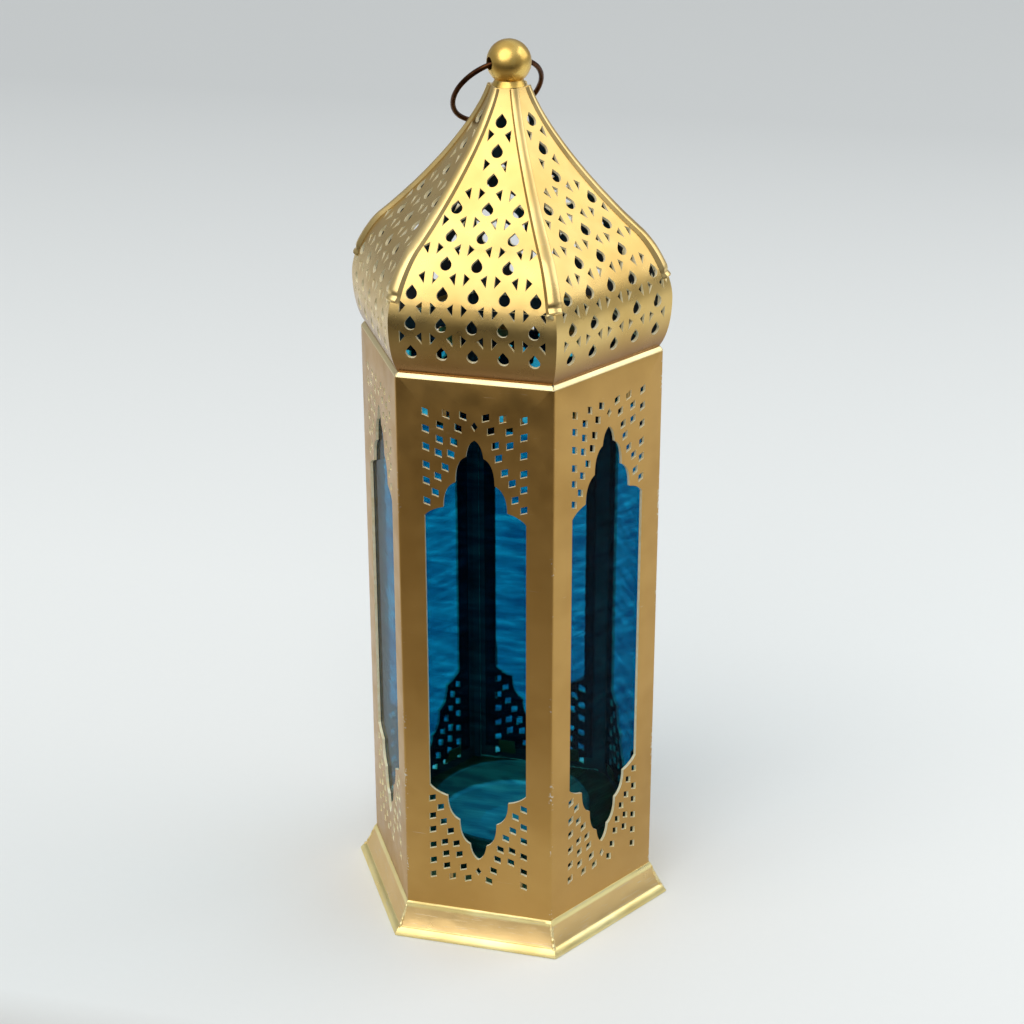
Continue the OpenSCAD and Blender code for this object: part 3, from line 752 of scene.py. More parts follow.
@dataclass
class PiercedWalls:
    """The five fixed walls, the door's panel and the strips over and under it."""

    plan: Plan
    tuck: float = 3.5
    bend_r: float = 1.2
    fold_r: float = 1.5
    flange_d: float = 4.5
    notch_w: float = 0.6
    fold_shares: tuple = ((0, 0), (0.03, 0.1), (0.1, 0.24), (0.5, 0.84), (0.66, 0.96), (0.8, 1), (1, 1))
    pierce_w: float = 2.3
    pierce_h: float = 2.4
    pierce_lean: float = 18.0
    diamond_w: float = 2.1
    diamond_h: float = 3.2
    lobe_steps: int = 9
    stop_w: float = 2.55
    stop_t: float = 0.4
    stop_side: float = 0.15
    stop_gap: float = 0.1
    stop_drop: float = 1.0
    cusp_shares: tuple = ((0, 0.104), (0.056, 0.1343), (0.126, 0.1803), (0.206, 0.2263), (0.328, 0.2441))
    bow_shares: tuple = ((0.046, 0.1105), (0.126, 0.1425), (0.206, 0.1895), (0.286, 0.2312))
    all_hole_shares: tuple = (
        (0.312, 0.0627), (0.312, 0.0915), (0.312, 0.1228), (0.312, 0.1547), (0.312, 0.1824),
        (0.312, 0.2185), (0.072, 0.0638), (0.104, 0.0857), (0.132, 0.1103), (0.152, 0.1317),
        (0.224, 0.1082), (0.19, 0.1558), (0.238, 0.173), (0.256, 0.2018),
    )
    top_pair_shares: tuple = ((0.18, 0.0633), (0.22, 0.0836))
    bottom_pair_shares: tuple = ((0.232, 0.1317),)
    diamond_share: float = 0.0805
    rivet_x: float = 19.0
    rivet_r: float = 1.05

    @property
    def wall_h(self) -> float:
        """Height of wall above the base."""
        return self.plan.wall_top - self.plan.base_h

    @property
    def middle(self) -> float:
        """Height of the middle of the wall's pattern."""
        return self.plan.base_h + self.wall_h / 2

    @property
    def fold_z(self) -> float:
        """Height where the fold at the top begins."""
        return self.plan.wall_top - self.fold_r

    @property
    def flat_half(self) -> float:
        """Half the width of the flat of a wall, between its corner bends."""
        return self.plan.face_w / 2 - self.bend_r * SLOPE

    @property
    def sheet_half(self) -> float:
        """Half the width of a wall's sheet before its corners are bent."""
        return self.flat_half + self.bend_r * HALF_ANGLE

    @property
    def fold_run(self) -> float:
        """Length of sheet in the fold."""
        return self.fold_r * math.pi / 2

    def spot(self, share: Point) -> Point:
        """A place of the pattern from its shares, from the middle of the wall."""
        return share[0] * self.plan.face_w, self.wall_h / 2 - share[1] * self.wall_h

    def window(self) -> list[Point]:
        """The window's outline, lobes and cusps, clockwise from the top."""
        cusps = [self.spot(s) for s in self.cusp_shares]
        bows = [self.spot(s) for s in self.bow_shares]
        side = [
            bow(cusps[i], bows[i], cusps[i + 1], k / self.lobe_steps)
            for i in range(len(bows))
            for k in range(self.lobe_steps)
        ]
        side.append(cusps[-1])
        right = side + [(x, -y) for x, y in reversed(side)]
        return right + [(-x, y) for x, y in reversed(right[1:-1])]

    def small_hole(self, share: Point, side: int, up: int) -> list[Point]:
        """One slanted hole: side is 1 to the right and up is 1 at the top."""
        x, y = self.spot(share)
        w, h = self.pierce_w / 2, self.pierce_h / 2
        rise = side * up * w * math.tan(math.radians(self.pierce_lean))
        corners = ((-w, -h - rise), (w, -h + rise), (w, h + rise), (-w, h - rise))
        return [(side * x + dx, up * y + dy) for dx, dy in corners]

    def holes(self) -> list[list[Point]]:
        """Every hole of a wall, at its height."""
        found = [self.window()]
        for up in (-1, 1):
            y = up * self.spot((0, self.diamond_share))[1]
            w, h = self.diamond_w / 2, self.diamond_h / 2
            found.append([(0, y - h), (w, y), (0, y + h), (-w, y)])
            found += [self.small_hole(s, side, up) for side in (-1, 1) for s in self.all_hole_shares]
        for shares, places in (
            (self.top_pair_shares, ((1, 1), (-1, 1), (-1, -1))),
            (self.bottom_pair_shares, ((1, -1), (-1, -1), (-1, 1))),
        ):
            found += [self.small_hole(s, side, up) for s in shares for side, up in places]
        return [[(x, y + self.middle) for x, y in hole] for hole in found]

    def folded(self, flat: Vector) -> Vector:
        """Where a point of the flat sheet is once corners and top are bent, facing +Y."""
        u, v = flat.x, flat.y
        x, y, z = abs(u), self.plan.flat_r, v
        if v > self.fold_z:
            run = (v - self.fold_z) / self.fold_run
            bends = len(self.fold_shares)
            i, part = step_at(range(bends), min(run, 1.0) * (bends - 1))
            inward, up = (a + (b - a) * part for a, b in zip(*self.fold_shares[i : i + 2]))
            y -= self.fold_r * inward + max(0.0, run - 1.0) * self.fold_run
            z = self.fold_z + self.fold_r * up
        elif x > self.flat_half:
            turn = (x - self.flat_half) / self.bend_r
            x = self.flat_half + self.bend_r * math.sin(turn)
            y -= self.bend_r * (1 - math.cos(turn))
        return Vector((-math.copysign(x, u), y, z))

    def fold_levels(self) -> list[float]:
        """Where the flat sheet is scored for the fold."""
        bends = len(self.fold_shares) - 1
        return [self.fold_z + self.fold_run * i / bends for i in range(bends + 1)]

    def fold_outline(self) -> list[Point]:
        """The right side of the notched flange, from the fold up to its free edge."""
        heights = [*self.fold_levels(), self.fold_z + self.fold_run + self.flange_d - self.fold_r]
        return [((self.folded(Vector((0, v, 0))).y - self.notch_w) * SLOPE, v) for v in heights]

    def sheet(self, bottom: float, top: float | None, half: float, holes: Iterable[Sequence[Point]]) -> BMesh:
        """Cuts and folds one sheet, facing +Y.

        Args:
            bottom: Height of its lower edge.
            top: Height of its upper edge, or None for a folded flange.
            half: Half its width.
            holes: Its holes.

        Returns:
            The sheet's outer face.
        """
        right = [(half, bottom), (half, top if top else self.fold_z)]
        if top is None:
            right += self.fold_outline()
        bm = pierced_sheet(right + [(-x, y) for x, y in reversed(right)], holes)
        across = [self.flat_half, (self.flat_half + self.sheet_half) / 2]
        score(bm, [side * x for x in across for side in (-1, 1)], Vector((1, 0, 0)))
        if top is None:
            score(bm, self.fold_levels(), Vector((0, 1, 0)))
        reshape(bm, self.folded)
        return bm

    def build(self) -> None:
        """Builds and dresses the walls, the door's panel, its sill and its lintel."""
        bottom = self.plan.base_h - self.tuck
        for look in Look:
            if look is not Look.BACK:
                bm = moved(self.sheet(bottom, None, self.sheet_half, self.holes()), look.turn)
                self.dress(bm, f"pierced_wall_{look.word}", f"wall_{look.word}")
        low, high = box_mm("door_panel")
        rivet_z = (top_of("latch_rivet") + box_mm("latch_rivet")[0].z) / 2
        rivet = arc((-self.rivet_x, rivet_z), self.rivet_r, 0, 330, 11)
        sill = self.sheet(bottom, top_of("door_sill"), self.sheet_half, [])
        lintel = self.sheet(box_mm("door_lintel")[0].z, None, self.sheet_half, [rivet])
        self.dress(sill, "sill_strip", "door_sill")
        self.dress(lintel, "lintel_strip", "door_lintel")
        self.dress(self.sheet(low.z, high.z, high.x, self.holes()), "pierced_door", "door_panel", "door")
        for side, name in ((-1, "door_stop_right"), (1, "door_stop_left")):
            self.door_stop(side, name, low.z - self.stop_drop, high.z - self.stop_drop)

    def door_stop(self, side: int, name: str, low: float, high: float) -> None:
        """A narrow strip behind the gap beside the door, for the door to close against."""
        far = self.plan.face_w / 2 - self.stop_side
        near = far - self.stop_w
        face = self.plan.flat_r - self.plan.seen_t - self.stop_gap
        corners = ((near, low), (far, low), (far, high), (near, high))
        bm = pierced_sheet([(side * x, z) for x, z in corners][::side], [])
        reshape(bm, lambda at: Vector((-at.x, face, at.y)))
        lining = (CUT_EDGE, SHADED_INSIDE)
        to_piece(bm, name, BODY_LACQUER, thickness=self.stop_t, lining=lining)

    def dress(self, bm: BMesh, name: str, node: str, body: str = "root") -> None:
        """Thickens a sheet and gives it the body's lacquer."""
        to_piece(
            bm, name, BODY_LACQUER, body, [node], self.plan.seen_t,
            lining=(CUT_EDGE, SHADED_INSIDE),
        )


@dataclass
class Dome:
    """Six pierced gores bent to the onion outline, and the ribs over their seams."""

    plan: Plan
    height: float = 80.2
    foot_in: float = 1.4
    belly_out: float = 2.4
    belly_h: float = 16.2
    shoulder_in: float = 7.7
    shoulder_h: float = 36.7
    neck_r: float = 6.3
    curve_steps: tuple = (12, 14, 22)
    drop_w: float = 3.6
    drop_h: float = 4.6
    drop_steps: int = 12
    tri_h: float = 4.0
    tri_out: float = 0.37
    tri_tip: Point = (0.166, 0.13)
    tri_room: float = 0.27
    drop_pitch: float = 9.6
    row_pitch: float = 9.4
    row_start: float = 8.3
    drop_edge: float = 5.0
    cut_drop_edge: float = 3.2
    tri_edge: float = 2.9
    rib_w: float = 5.2
    rib_top_share: float = 0.58
    rib_h: float = 0.9
    rib_t: float = 0.5
    crest_r: float = 0.9
    crest_fall: float = 0.8
    rib_start_share: float = 0.3
    rib_steps: tuple = (16, 30)
    rib_cuts: tuple = (10, 150)
    rib_crowding: float = 1.25
    roll_way: float = 2.1
    roll_w: float = 0.85
    roll_h: float = 0.5
    hammer_h: float = 0.06
    hammer_w: float = 5.0
    turn_down_share: float = 0.76
    turn_down_power: float = 1.5
    lip_w: float = 0.7
    seat: float = 0.03
    spring: float = 0.28
    pulls: tuple = ((0.57, 0.17), 0.49, 0.34, (0.455, 0.21), (0.453, 0.312), (0.114, 0.273))
    solder_at: tuple = (1.3, -0.75, -0.8)
    solder_reach: tuple = (1.5, 0.9, 1.6)
    solder_lump: Point = (0.3, 0.7)
    ribs: tuple = (
        ("right", 0.45), ("back_right", 0.53), ("back_left", 0.61),
        ("left", 0.45), ("front_left", 0.53), ("front_right", 0.95),
    )
    corners: list[Point] = field(default_factory=list)
    ways: list[float] = field(default_factory=list)

    def __post_init__(self) -> None:
        """Works out the dome's outline and the distance along it."""
        for curve, steps in zip(self.curves(), self.curve_steps):
            self.corners += [cubic(curve, i / steps) for i in range(steps)]
        self.corners.append((self.neck_r, self.plan.wall_top + self.height))
        self.ways = [0.0]
        for (r0, z0), (r1, z1) in zip(self.corners, self.corners[1:]):
            self.ways.append(self.ways[-1] + math.hypot((r1 - r0) * math.cos(HALF_ANGLE), z1 - z0))

    def curves(self) -> list[list[Point]]:
        """The swell, the shoulder and the cone, as corner radius and height."""

        def between(a: Point, b: Point, share: Point) -> Point:
            """A point between two, by its shares across and up."""
            return a[0] + (b[0] - a[0]) * share[0], a[1] + (b[1] - a[1]) * share[1]

        top = self.plan.wall_top
        foot = (self.plan.face_w - self.foot_in, top)
        belly = (self.plan.face_w + self.belly_out, top + self.belly_h)
        shoulder = (self.plan.face_w - self.shoulder_in, top + self.shoulder_h)
        neck = (self.neck_r, top + self.height)
        swell, below, above, dip, fall, rise = self.pulls
        under = (belly[0], belly[1] - below * self.belly_h)
        over = (belly[0], belly[1] + above * (self.shoulder_h - self.belly_h))
        return [
            [foot, between(foot, belly, swell), under, belly],
            [belly, over, between(shoulder, belly, dip), shoulder],
            [shoulder, between(shoulder, neck, fall), between(neck, shoulder, rise), neck],
        ]

    def corner_at(self, way: float) -> Point:
        """Corner radius and height at a distance along a face from the foot."""
        i, t = step_at(self.ways, way)
        (r0, z0), (r1, z1) = self.corners[i : i + 2]
        return r0 + (r1 - r0) * t, z0 + (z1 - z0) * t

    def seam_x(self, way: float) -> float:
        """Half the width of a face at a distance along it."""
        return self.corner_at(way)[0] / 2

    def bent(self, flat: Vector) -> Vector:
        """Where a point of the flat gore is once it is bent, facing +Y."""
        r, z = self.corner_at(flat.y)
        return Vector((-flat.x, r * math.cos(HALF_ANGLE), z))

    def drop(self, x: float, y: float) -> list[Point]:
        """A drop-shaped hole, point upwards."""
        r = self.drop_w / 2
        tip = self.drop_h - r
        turn = math.degrees(math.acos(r / tip))
        round_part = arc((x, y + r - self.drop_h / 2), r, 90 + turn, 450 - turn, self.drop_steps)
        return [(x, y + self.drop_h / 2), *round_part]

    def cut_drop(self, x: float, y: float, side: float) -> list[Point]:
        """The corner that is left of a drop at the seam."""
        r = self.drop_w / 2
        return [
            (x - r * side / 2, y + self.drop_h / 4),
            (x - r * side, y - self.drop_h / 4),
            (x + r * side / 2, y - self.drop_h / 4),
        ]

    def triangle(self, x: float, y: float, side: int) -> list[Point]:
        """A three-cornered hole beside the line of a drop, tip towards it."""
        upright = x + side * self.tri_out * self.drop_pitch
        return [
            (upright, y - self.tri_h / 2),
            (upright, y + self.tri_h / 2),
            (x + side * self.tri_tip[0] * self.drop_pitch, y + self.tri_tip[1] * self.tri_h),
        ]

    def holes(self) -> list[list[Point]]:
        """The drops, cut drops and three-cornered holes of one gore."""
        found = []
        length = self.ways[-1]
        columns = math.ceil(self.plan.face_w / 2 / self.drop_pitch)
        for row in range(int((length - self.row_start) / self.row_pitch) + 1):
            way = self.row_start + row * self.row_pitch
            middle = way + self.row_pitch / 2
            for column in range(-columns, columns + 1):
                x = column * self.drop_pitch
                room = self.seam_x(min(way, length)) - abs(x)
                if way < length - 2 * self.drop_h and room >= self.drop_edge:
                    found.append(self.drop(x, way))
                elif way < length - 2 * self.drop_h and room >= self.cut_drop_edge:
                    found.append(self.cut_drop(x, way, math.copysign(1, column)))
                if middle < length - 3 * self.drop_h:
                    room = self.seam_x(middle) - self.tri_edge
                    found += [
                        self.triangle(x, middle, side)
                        for side in (-1, 1)
                        if abs(x + side * self.tri_room * self.drop_pitch) <= room
                    ]
        return found

    def gore(self) -> BMesh:
        """Cuts one gore flat and bends it, facing +Y."""
        right = [(r / 2, way) for (r, _), way in zip(self.corners, self.ways)]
        bm = pierced_sheet(right + [(-x, y) for x, y in reversed(right)], self.holes())
        score(bm, self.ways[1:-1], Vector((0, 1, 0)))
        reshape(bm, self.bent)
        return bm

    def rib_line(self) -> list[Point]:
        """The line of a seam that a rib covers, from its lower end up."""
        _, shoulder, cone = self.curves()
        low, (below, above) = self.rib_start_share, self.rib_steps
        line = [cubic(shoulder, low + (1 - low) * i / below) for i in range(below)]
        return line + [cubic(cone, i / above) for i in range(above + 1)]

    def rib(self, seed: float) -> BMesh:
        """A folded strip over a seam, in the plane of +Y.

        Its section is crowned, its edges turn down to the gores, and its
        lower end is rolled over into a small lip.

        Args:
            seed: Where the hammered unevenness starts.

        Returns:
            The strip's outer face.
        """
        line = self.rib_line()
        ways = [0.0]
        for a, b in zip(line, line[1:]):
            ways.append(ways[-1] + math.dist(a, b))
        length = ways[-1]
        bm = bmesh.new()
        bmesh.ops.create_grid(bm, x_segments=self.rib_cuts[0], y_segments=self.rib_cuts[1], size=1)

        def rule(flat: Vector) -> Vector:
            """Where a point of the strip goes: flat.x runs across and flat.y along."""
            side = flat.x
            way = length * (0.5 + 0.5 * flat.y) ** self.rib_crowding
            i, t = step_at(ways, way)
            (r0, z0), (r1, z1) = line[i : i + 2]
            step = Vector((r1 - r0, z1 - z0)).normalized()
            out = Vector((step.y, -step.x))
            taper = 1 - (1 - self.rib_top_share) * way / length
            x = side * self.rib_w / 2 * taper
            seam = -abs(x) * SLOPE * out.x
            fall = self.crest_fall * (math.hypot(x, self.crest_r) - self.crest_r) * SLOPE * out.x
            roll = self.roll_h * math.exp(-(((way - self.roll_way) / self.roll_w) ** 2))
            hammered = self.hammer_h * wobble(Vector((x, way, 0)), self.hammer_w, seed)
            crown = min(self.rib_h * taper - fall - roll + hammered, self.rib_h)
            past = max(0.0, (abs(side) - self.turn_down_share) / (1 - self.turn_down_share))
            edge = past**self.turn_down_power
            if way < self.lip_w:
                edge = max(edge, (1 - way / self.lip_w) ** 2)
            sprung = max(0.0, math.copysign(1, side) * math.cos(seed * 7)) * (way / length) ** 3
            h = crown + (seam + self.seat + self.spring * sprung - crown) * edge
            place = Vector((r0 + (r1 - r0) * t, z0 + (z1 - z0) * t)) + out * h
            return Vector((-x, place.x, place.y))

        reshape(bm, rule)
        return bm

    def solder(self, corner: float, size: float) -> BMesh:
        """A drop of solder at the lower end of a rib, in the plane of +Y."""
        place = Vector((0, *self.rib_line()[0])) + Vector(self.solder_at)
        reach = Vector(self.solder_reach) * size
        height, width = self.solder_lump
        bm = bmesh.new()
        bmesh.ops.create_icosphere(bm, subdivisions=3, radius=1.0)
        reshape(bm, lambda at: place + at * reach * (1 + height * wobble(at, width, corner)))
        return bm

    def build(self) -> None:
        """Builds and dresses the gores, the ribs and their solder."""
        for look in Look:
            to_piece(
                moved(self.gore(), look.turn), f"pierced_gore_{look.word}", DOME_LACQUER,
                nodes=[f"gore_{look.word}"], thickness=self.plan.seen_t, lining=(CUT_EDGE, SHADED_INSIDE),
            )
        for i, (name, size) in enumerate(self.ribs):
            turn = Matrix.Rotation(math.radians(60 * i - Look.BACK.value), 4, "Z")
            to_piece(
                moved(self.rib(1.7 + i), turn), f"folded_rib_{name}", RIB_LACQUER,
                nodes=[f"rib_{name}"], thickness=self.rib_t, edge=0.1,
            )
            drop = moved(self.solder(i + 0.3, size), turn)
            to_piece(drop, f"rib_solder_{name}", SOLDER)


@dataclass
class Glazing:
    """The rippled panes behind the walls and the clips that hold them."""

    plan: Plan
    pane_w: float = 40.0
    pane_t: float = 2.0
    columns: int = 24
    rows: int = 200
    ripple: float = 0.03
    ripple_sizes: tuple = ((21, 26), (17, 3.1), (9, 1.5))
    drift: float = 2.2
    fine_share: float = 0.25
    seam: float = 0.45
    back_seam: float = 0.12
    calm: float = 2.0

    def ripples(self, u: float, v: float, seed: float) -> float:
        """How far the rolled face waves at a place, from -1 to 1."""
        (drift_u, drift_v), (wave_u, wave_v), (fine_u, fine_v) = self.ripple_sizes
        drift = self.drift * noise.noise(Vector((u / drift_u, v / drift_v, seed)))
        wave = noise.noise(Vector((u / wave_u + seed, v / wave_v + drift, seed)))
        fine = noise.noise(Vector((u / fine_u - seed, v / fine_v + drift, 5 * seed)))
        return (1 - self.fine_share) * wave + self.fine_share * fine

    def pane(self, node: str, seed: float) -> BMesh:
        """One pane, facing +Y, with both faces rippled."""
        low, high = box_mm(node)
        middle, half_h = (low.z + high.z) / 2, (high.z - low.z) / 2
        front, half_w = self.plan.inner_r - self.seam, self.pane_w / 2
        bm = bmesh.new()
        rims = []
        for side, y in ((1, front), (-1, self.plan.inner_r - self.pane_t + self.back_seam)):
            grid = bmesh.ops.create_grid(bm, x_segments=self.columns, y_segments=self.rows, size=1)
            face = grid["verts"]
            for vert in face:
                u, v = vert.co.x * half_w, vert.co.y * half_h
                edge = min(1.0, (half_w - abs(u)) / self.calm, (half_h - abs(v)) / self.calm)
                shift = self.ripple * edge * self.ripples(u, v, seed + side * 4.3)
                vert.co = Vector((-u, y + shift, middle + v))
            if side < 0:
                bmesh.ops.reverse_faces(bm, faces=list({f for v in face for f in v.link_faces}))
            rims += [e for v in face for e in v.link_edges if e.is_boundary]
        bmesh.ops.bridge_loops(bm, edges=list(set(rims)))
        bmesh.ops.recalc_face_normals(bm, faces=bm.faces)
        return bm

    def build(self) -> None:
        """Builds and dresses each pane and its clips."""
        for i, look in enumerate(Look):
            door = look is Look.BACK
            node = "door_pane" if door else f"pane_{look.word}"
            clips = "door_clips" if door else f"clips_{look.word}"
            body = "door" if door else "root"
            pane = moved(self.pane(node, 1.9 + 3.1 * i), look.turn)
            to_piece(pane, f"rolled_{node}", BLUE_GLASS, body, [node])
            to_piece(softened(clips), f"bent_{clips}", INNER_SHEET, body, [clips], edge=0.08)


@dataclass
class Base:
    """The mitred skirt, the floor plate and the candle cup on it."""

    plan: Plan
    out: float = 5.5
    bead_r: float = 1.5
    bead_flat: float = 0.8
    skirt_t: float = 0.7
    lip_h: float = 1.2
    bead_angle: float = 40.0
    hem_shares: tuple = ((-0.3, 0), (0, 0.22), (-0.02, 0.5), (-0.85, 1.75), (-1.05, 1.95), (-1.25, 2.0))
    slope_bow_share: Point = (0.57, 0.45)
    lip_share: Point = (0.04, 0.1)
    ridge_h: float = 0.3
    ridge_w: float = 0.9
    ridge_lumps: tuple = (0.6, 0.5, 2.5)
    hem_ridge_share: float = 0.3
    flat_lip_h: float = 0.05
    even_h: float = 1.2
    hand_h: Point = (0.1, 0.05)
    hand_w: Point = (7.0, 2.6)
    spare: float = 0.14
    solder_r: float = 0.62
    solder_cuts: tuple = (10, 60)
    solder_sunk: float = 0.3
    solder_flat: float = 0.8
    lump_h: float = 0.45
    lump_w: float = 2.2
    lump_run: float = 22.0
    steps: int = 9
    lengthwise_cuts: int = 26
    cup_bore_r: float = 26.3
    cup_h: float = 9.9
    cup_t: float = 0.7
    cup_foot_r: float = 1.2
    cup_ring: tuple = ((11.4, 0), (10.9, 0.3), (10.1, 0.3), (9.6, 0))
    rim_r: float = 0.6
    rim_in: float = 0.05

    @property
    def foot_r(self) -> float:
        """Distance from the axis to the foot's edge."""
        return self.plan.flat_r + self.out

    def hem_and_slope(self) -> tuple[list[Point], list[Point]]:
        """The outside of the skirt's section, as distance from the axis and height."""
        hem = [(self.foot_r + x * self.bead_r, z * self.bead_r) for x, z in self.hem_shares]
        low = hem[-1]
        high = (self.plan.flat_r + self.skirt_t, self.plan.base_h - self.lip_h)
        mid = tuple(a + (b - a) * s for a, b, s in zip(low, high, self.slope_bow_share))
        return hem, [bow(low, mid, high, i / self.steps) for i in range(1, self.steps + 1)]

    def section(self) -> list[Point]:
        """The skirt's section as distance from the axis to a face and height."""
        centre = (self.foot_r - self.bead_r, self.bead_r)
        hem, slope = self.hem_and_slope()
        high = slope[-1]
        inside = [(r - self.skirt_t, z) for r, z in reversed(slope)]
        back = arc(centre, self.bead_r, 180 - self.bead_angle, 180 + self.bead_angle, self.steps)
        return [
            (centre[0] - self.bead_flat, 0), *hem, *slope,
            (high[0], high[1] + self.lip_share[1] * self.lip_h),
            (self.plan.flat_r + self.lip_share[0] * self.skirt_t, self.plan.base_h),
            (self.plan.flat_r, self.plan.base_h), *inside, *back,
        ]

    def skirt(self) -> BMesh:
        """Six mitred lengths, uneven by hand work, with a ridge along each mitre."""
        bm = spun([(r / math.cos(HALF_ANGLE), z) for r, z in self.section()], 6, closed=True)
        lengths = [e for e in bm.edges if e.calc_length() > self.plan.face_w / 2]
        bmesh.ops.subdivide_edges(bm, edges=lengths, cuts=self.lengthwise_cuts, use_grid_fill=True)
        bmesh.ops.recalc_face_normals(bm, faces=bm.faces)
        bm.normal_update()
        outward = {v: v.normal.copy() for v in bm.verts}
        even, lump, lump_w = self.ridge_lumps
        for vert in bm.verts:
            at = vert.co.copy()
            if at.z <= self.even_h or outward[vert].z < 0:
                continue
            beside = math.remainder(math.atan2(at.y, at.x), math.tau / 6) * at.xy.length
            uneven = even + lump * wobble(at, lump_w, 4.0)
            ridge = math.exp(-((beside / self.ridge_w) ** 2)) * uneven
            hand = sum(h * wobble(at, w, i + 1) for i, (h, w) in enumerate(zip(self.hand_h, self.hand_w)))
            on_slope = 2 * self.bead_r < at.z < self.plan.base_h - self.flat_lip_h
            rise = self.ridge_h * ridge * (1 if on_slope else self.hem_ridge_share)
            vert.co = at + outward[vert] * min(rise + hand - self.spare, rise)
            vert.co.z = min(vert.co.z, self.plan.base_h)
        return bm

    def mitre_solder(self) -> BMesh:
        """An uneven strand of solder up each mitre of the skirt."""
        hem, slope = self.hem_and_slope()
        line = [(r / math.cos(HALF_ANGLE), z) for r, z in (*hem[3:], *slope)]
        bm = bmesh.new()
        for number in range(6):
            across, along = self.solder_cuts
            strand = bmesh.ops.create_grid(bm, x_segments=across, y_segments=along, size=1)["verts"]
            for vert in strand:
                turn, share = math.pi * vert.co.x, (vert.co.y + 1) / 2
                i, part = step_at(range(len(line)), share * (len(line) - 1))
                start, end = (Vector((r, 0, z)) for r, z in line[i : i + 2])
                way = (end - start).normalized()
                out = Vector((way.z, 0, -way.x))
                drip = wobble(Vector((0, 0, self.lump_run * share)), self.lump_w, 3.0 + number)
                size = self.solder_r * (1 + self.lump_h * drip) * (1 - abs(2 * share - 1) ** 10) ** 0.5
                ring = self.solder_flat * math.cos(turn) * out + math.sin(turn) * Vector((0, 1, 0))
                vert.co = start.lerp(end, part) - self.solder_sunk * out + size * ring
            bmesh.ops.transform(bm, matrix=Matrix.Rotation(number * math.tau / 6, 4, "Z"), verts=strand)
        bmesh.ops.remove_doubles(bm, verts=bm.verts, dist=MERGE)
        bmesh.ops.recalc_face_normals(bm, faces=bm.faces)
        return bm

    def cup(self) -> BMesh:
        """The candle cup: spun, with a rolled rim, a rounded foot and a low ring in its floor."""
        low = box_mm("candle_cup")[0].z
        floor, foot_r = low + self.cup_t, self.cup_foot_r
        bore, outside = self.cup_bore_r, self.cup_bore_r + self.cup_t
        rim = (outside - self.rim_in, low + self.cup_h - self.rim_r)
        profile = [
            (0, low), (outside - foot_r, low), *arc((outside - foot_r, low + foot_r), foot_r, -80, 0, 5),
            *arc(rim, self.rim_r, -40, 150, 10),
            (bore, rim[1]), *arc((bore - foot_r, floor + foot_r), foot_r, 0, -80, 5),
            (bore - foot_r, floor), *((r, floor + h) for r, h in self.cup_ring), (0, floor),
        ]
        return spun(profile, 96)

    def build(self) -> None:
        """Builds and dresses the skirt, the floor plate and the cup."""
        to_piece(self.skirt(), "mitred_skirt", SKIRT_LACQUER, nodes=["base_skirt"], edge=0.12)
        to_piece(self.mitre_solder(), "mitre_solder", SOLDER)
        plate = softened("floor_plate")
        to_piece(plate, "floor_sheet", INNER_SHEET, nodes=["floor_plate"], edge=0.1)
        to_piece(self.cup(), "spun_cup", CUP_SHEET, nodes=["candle_cup"])


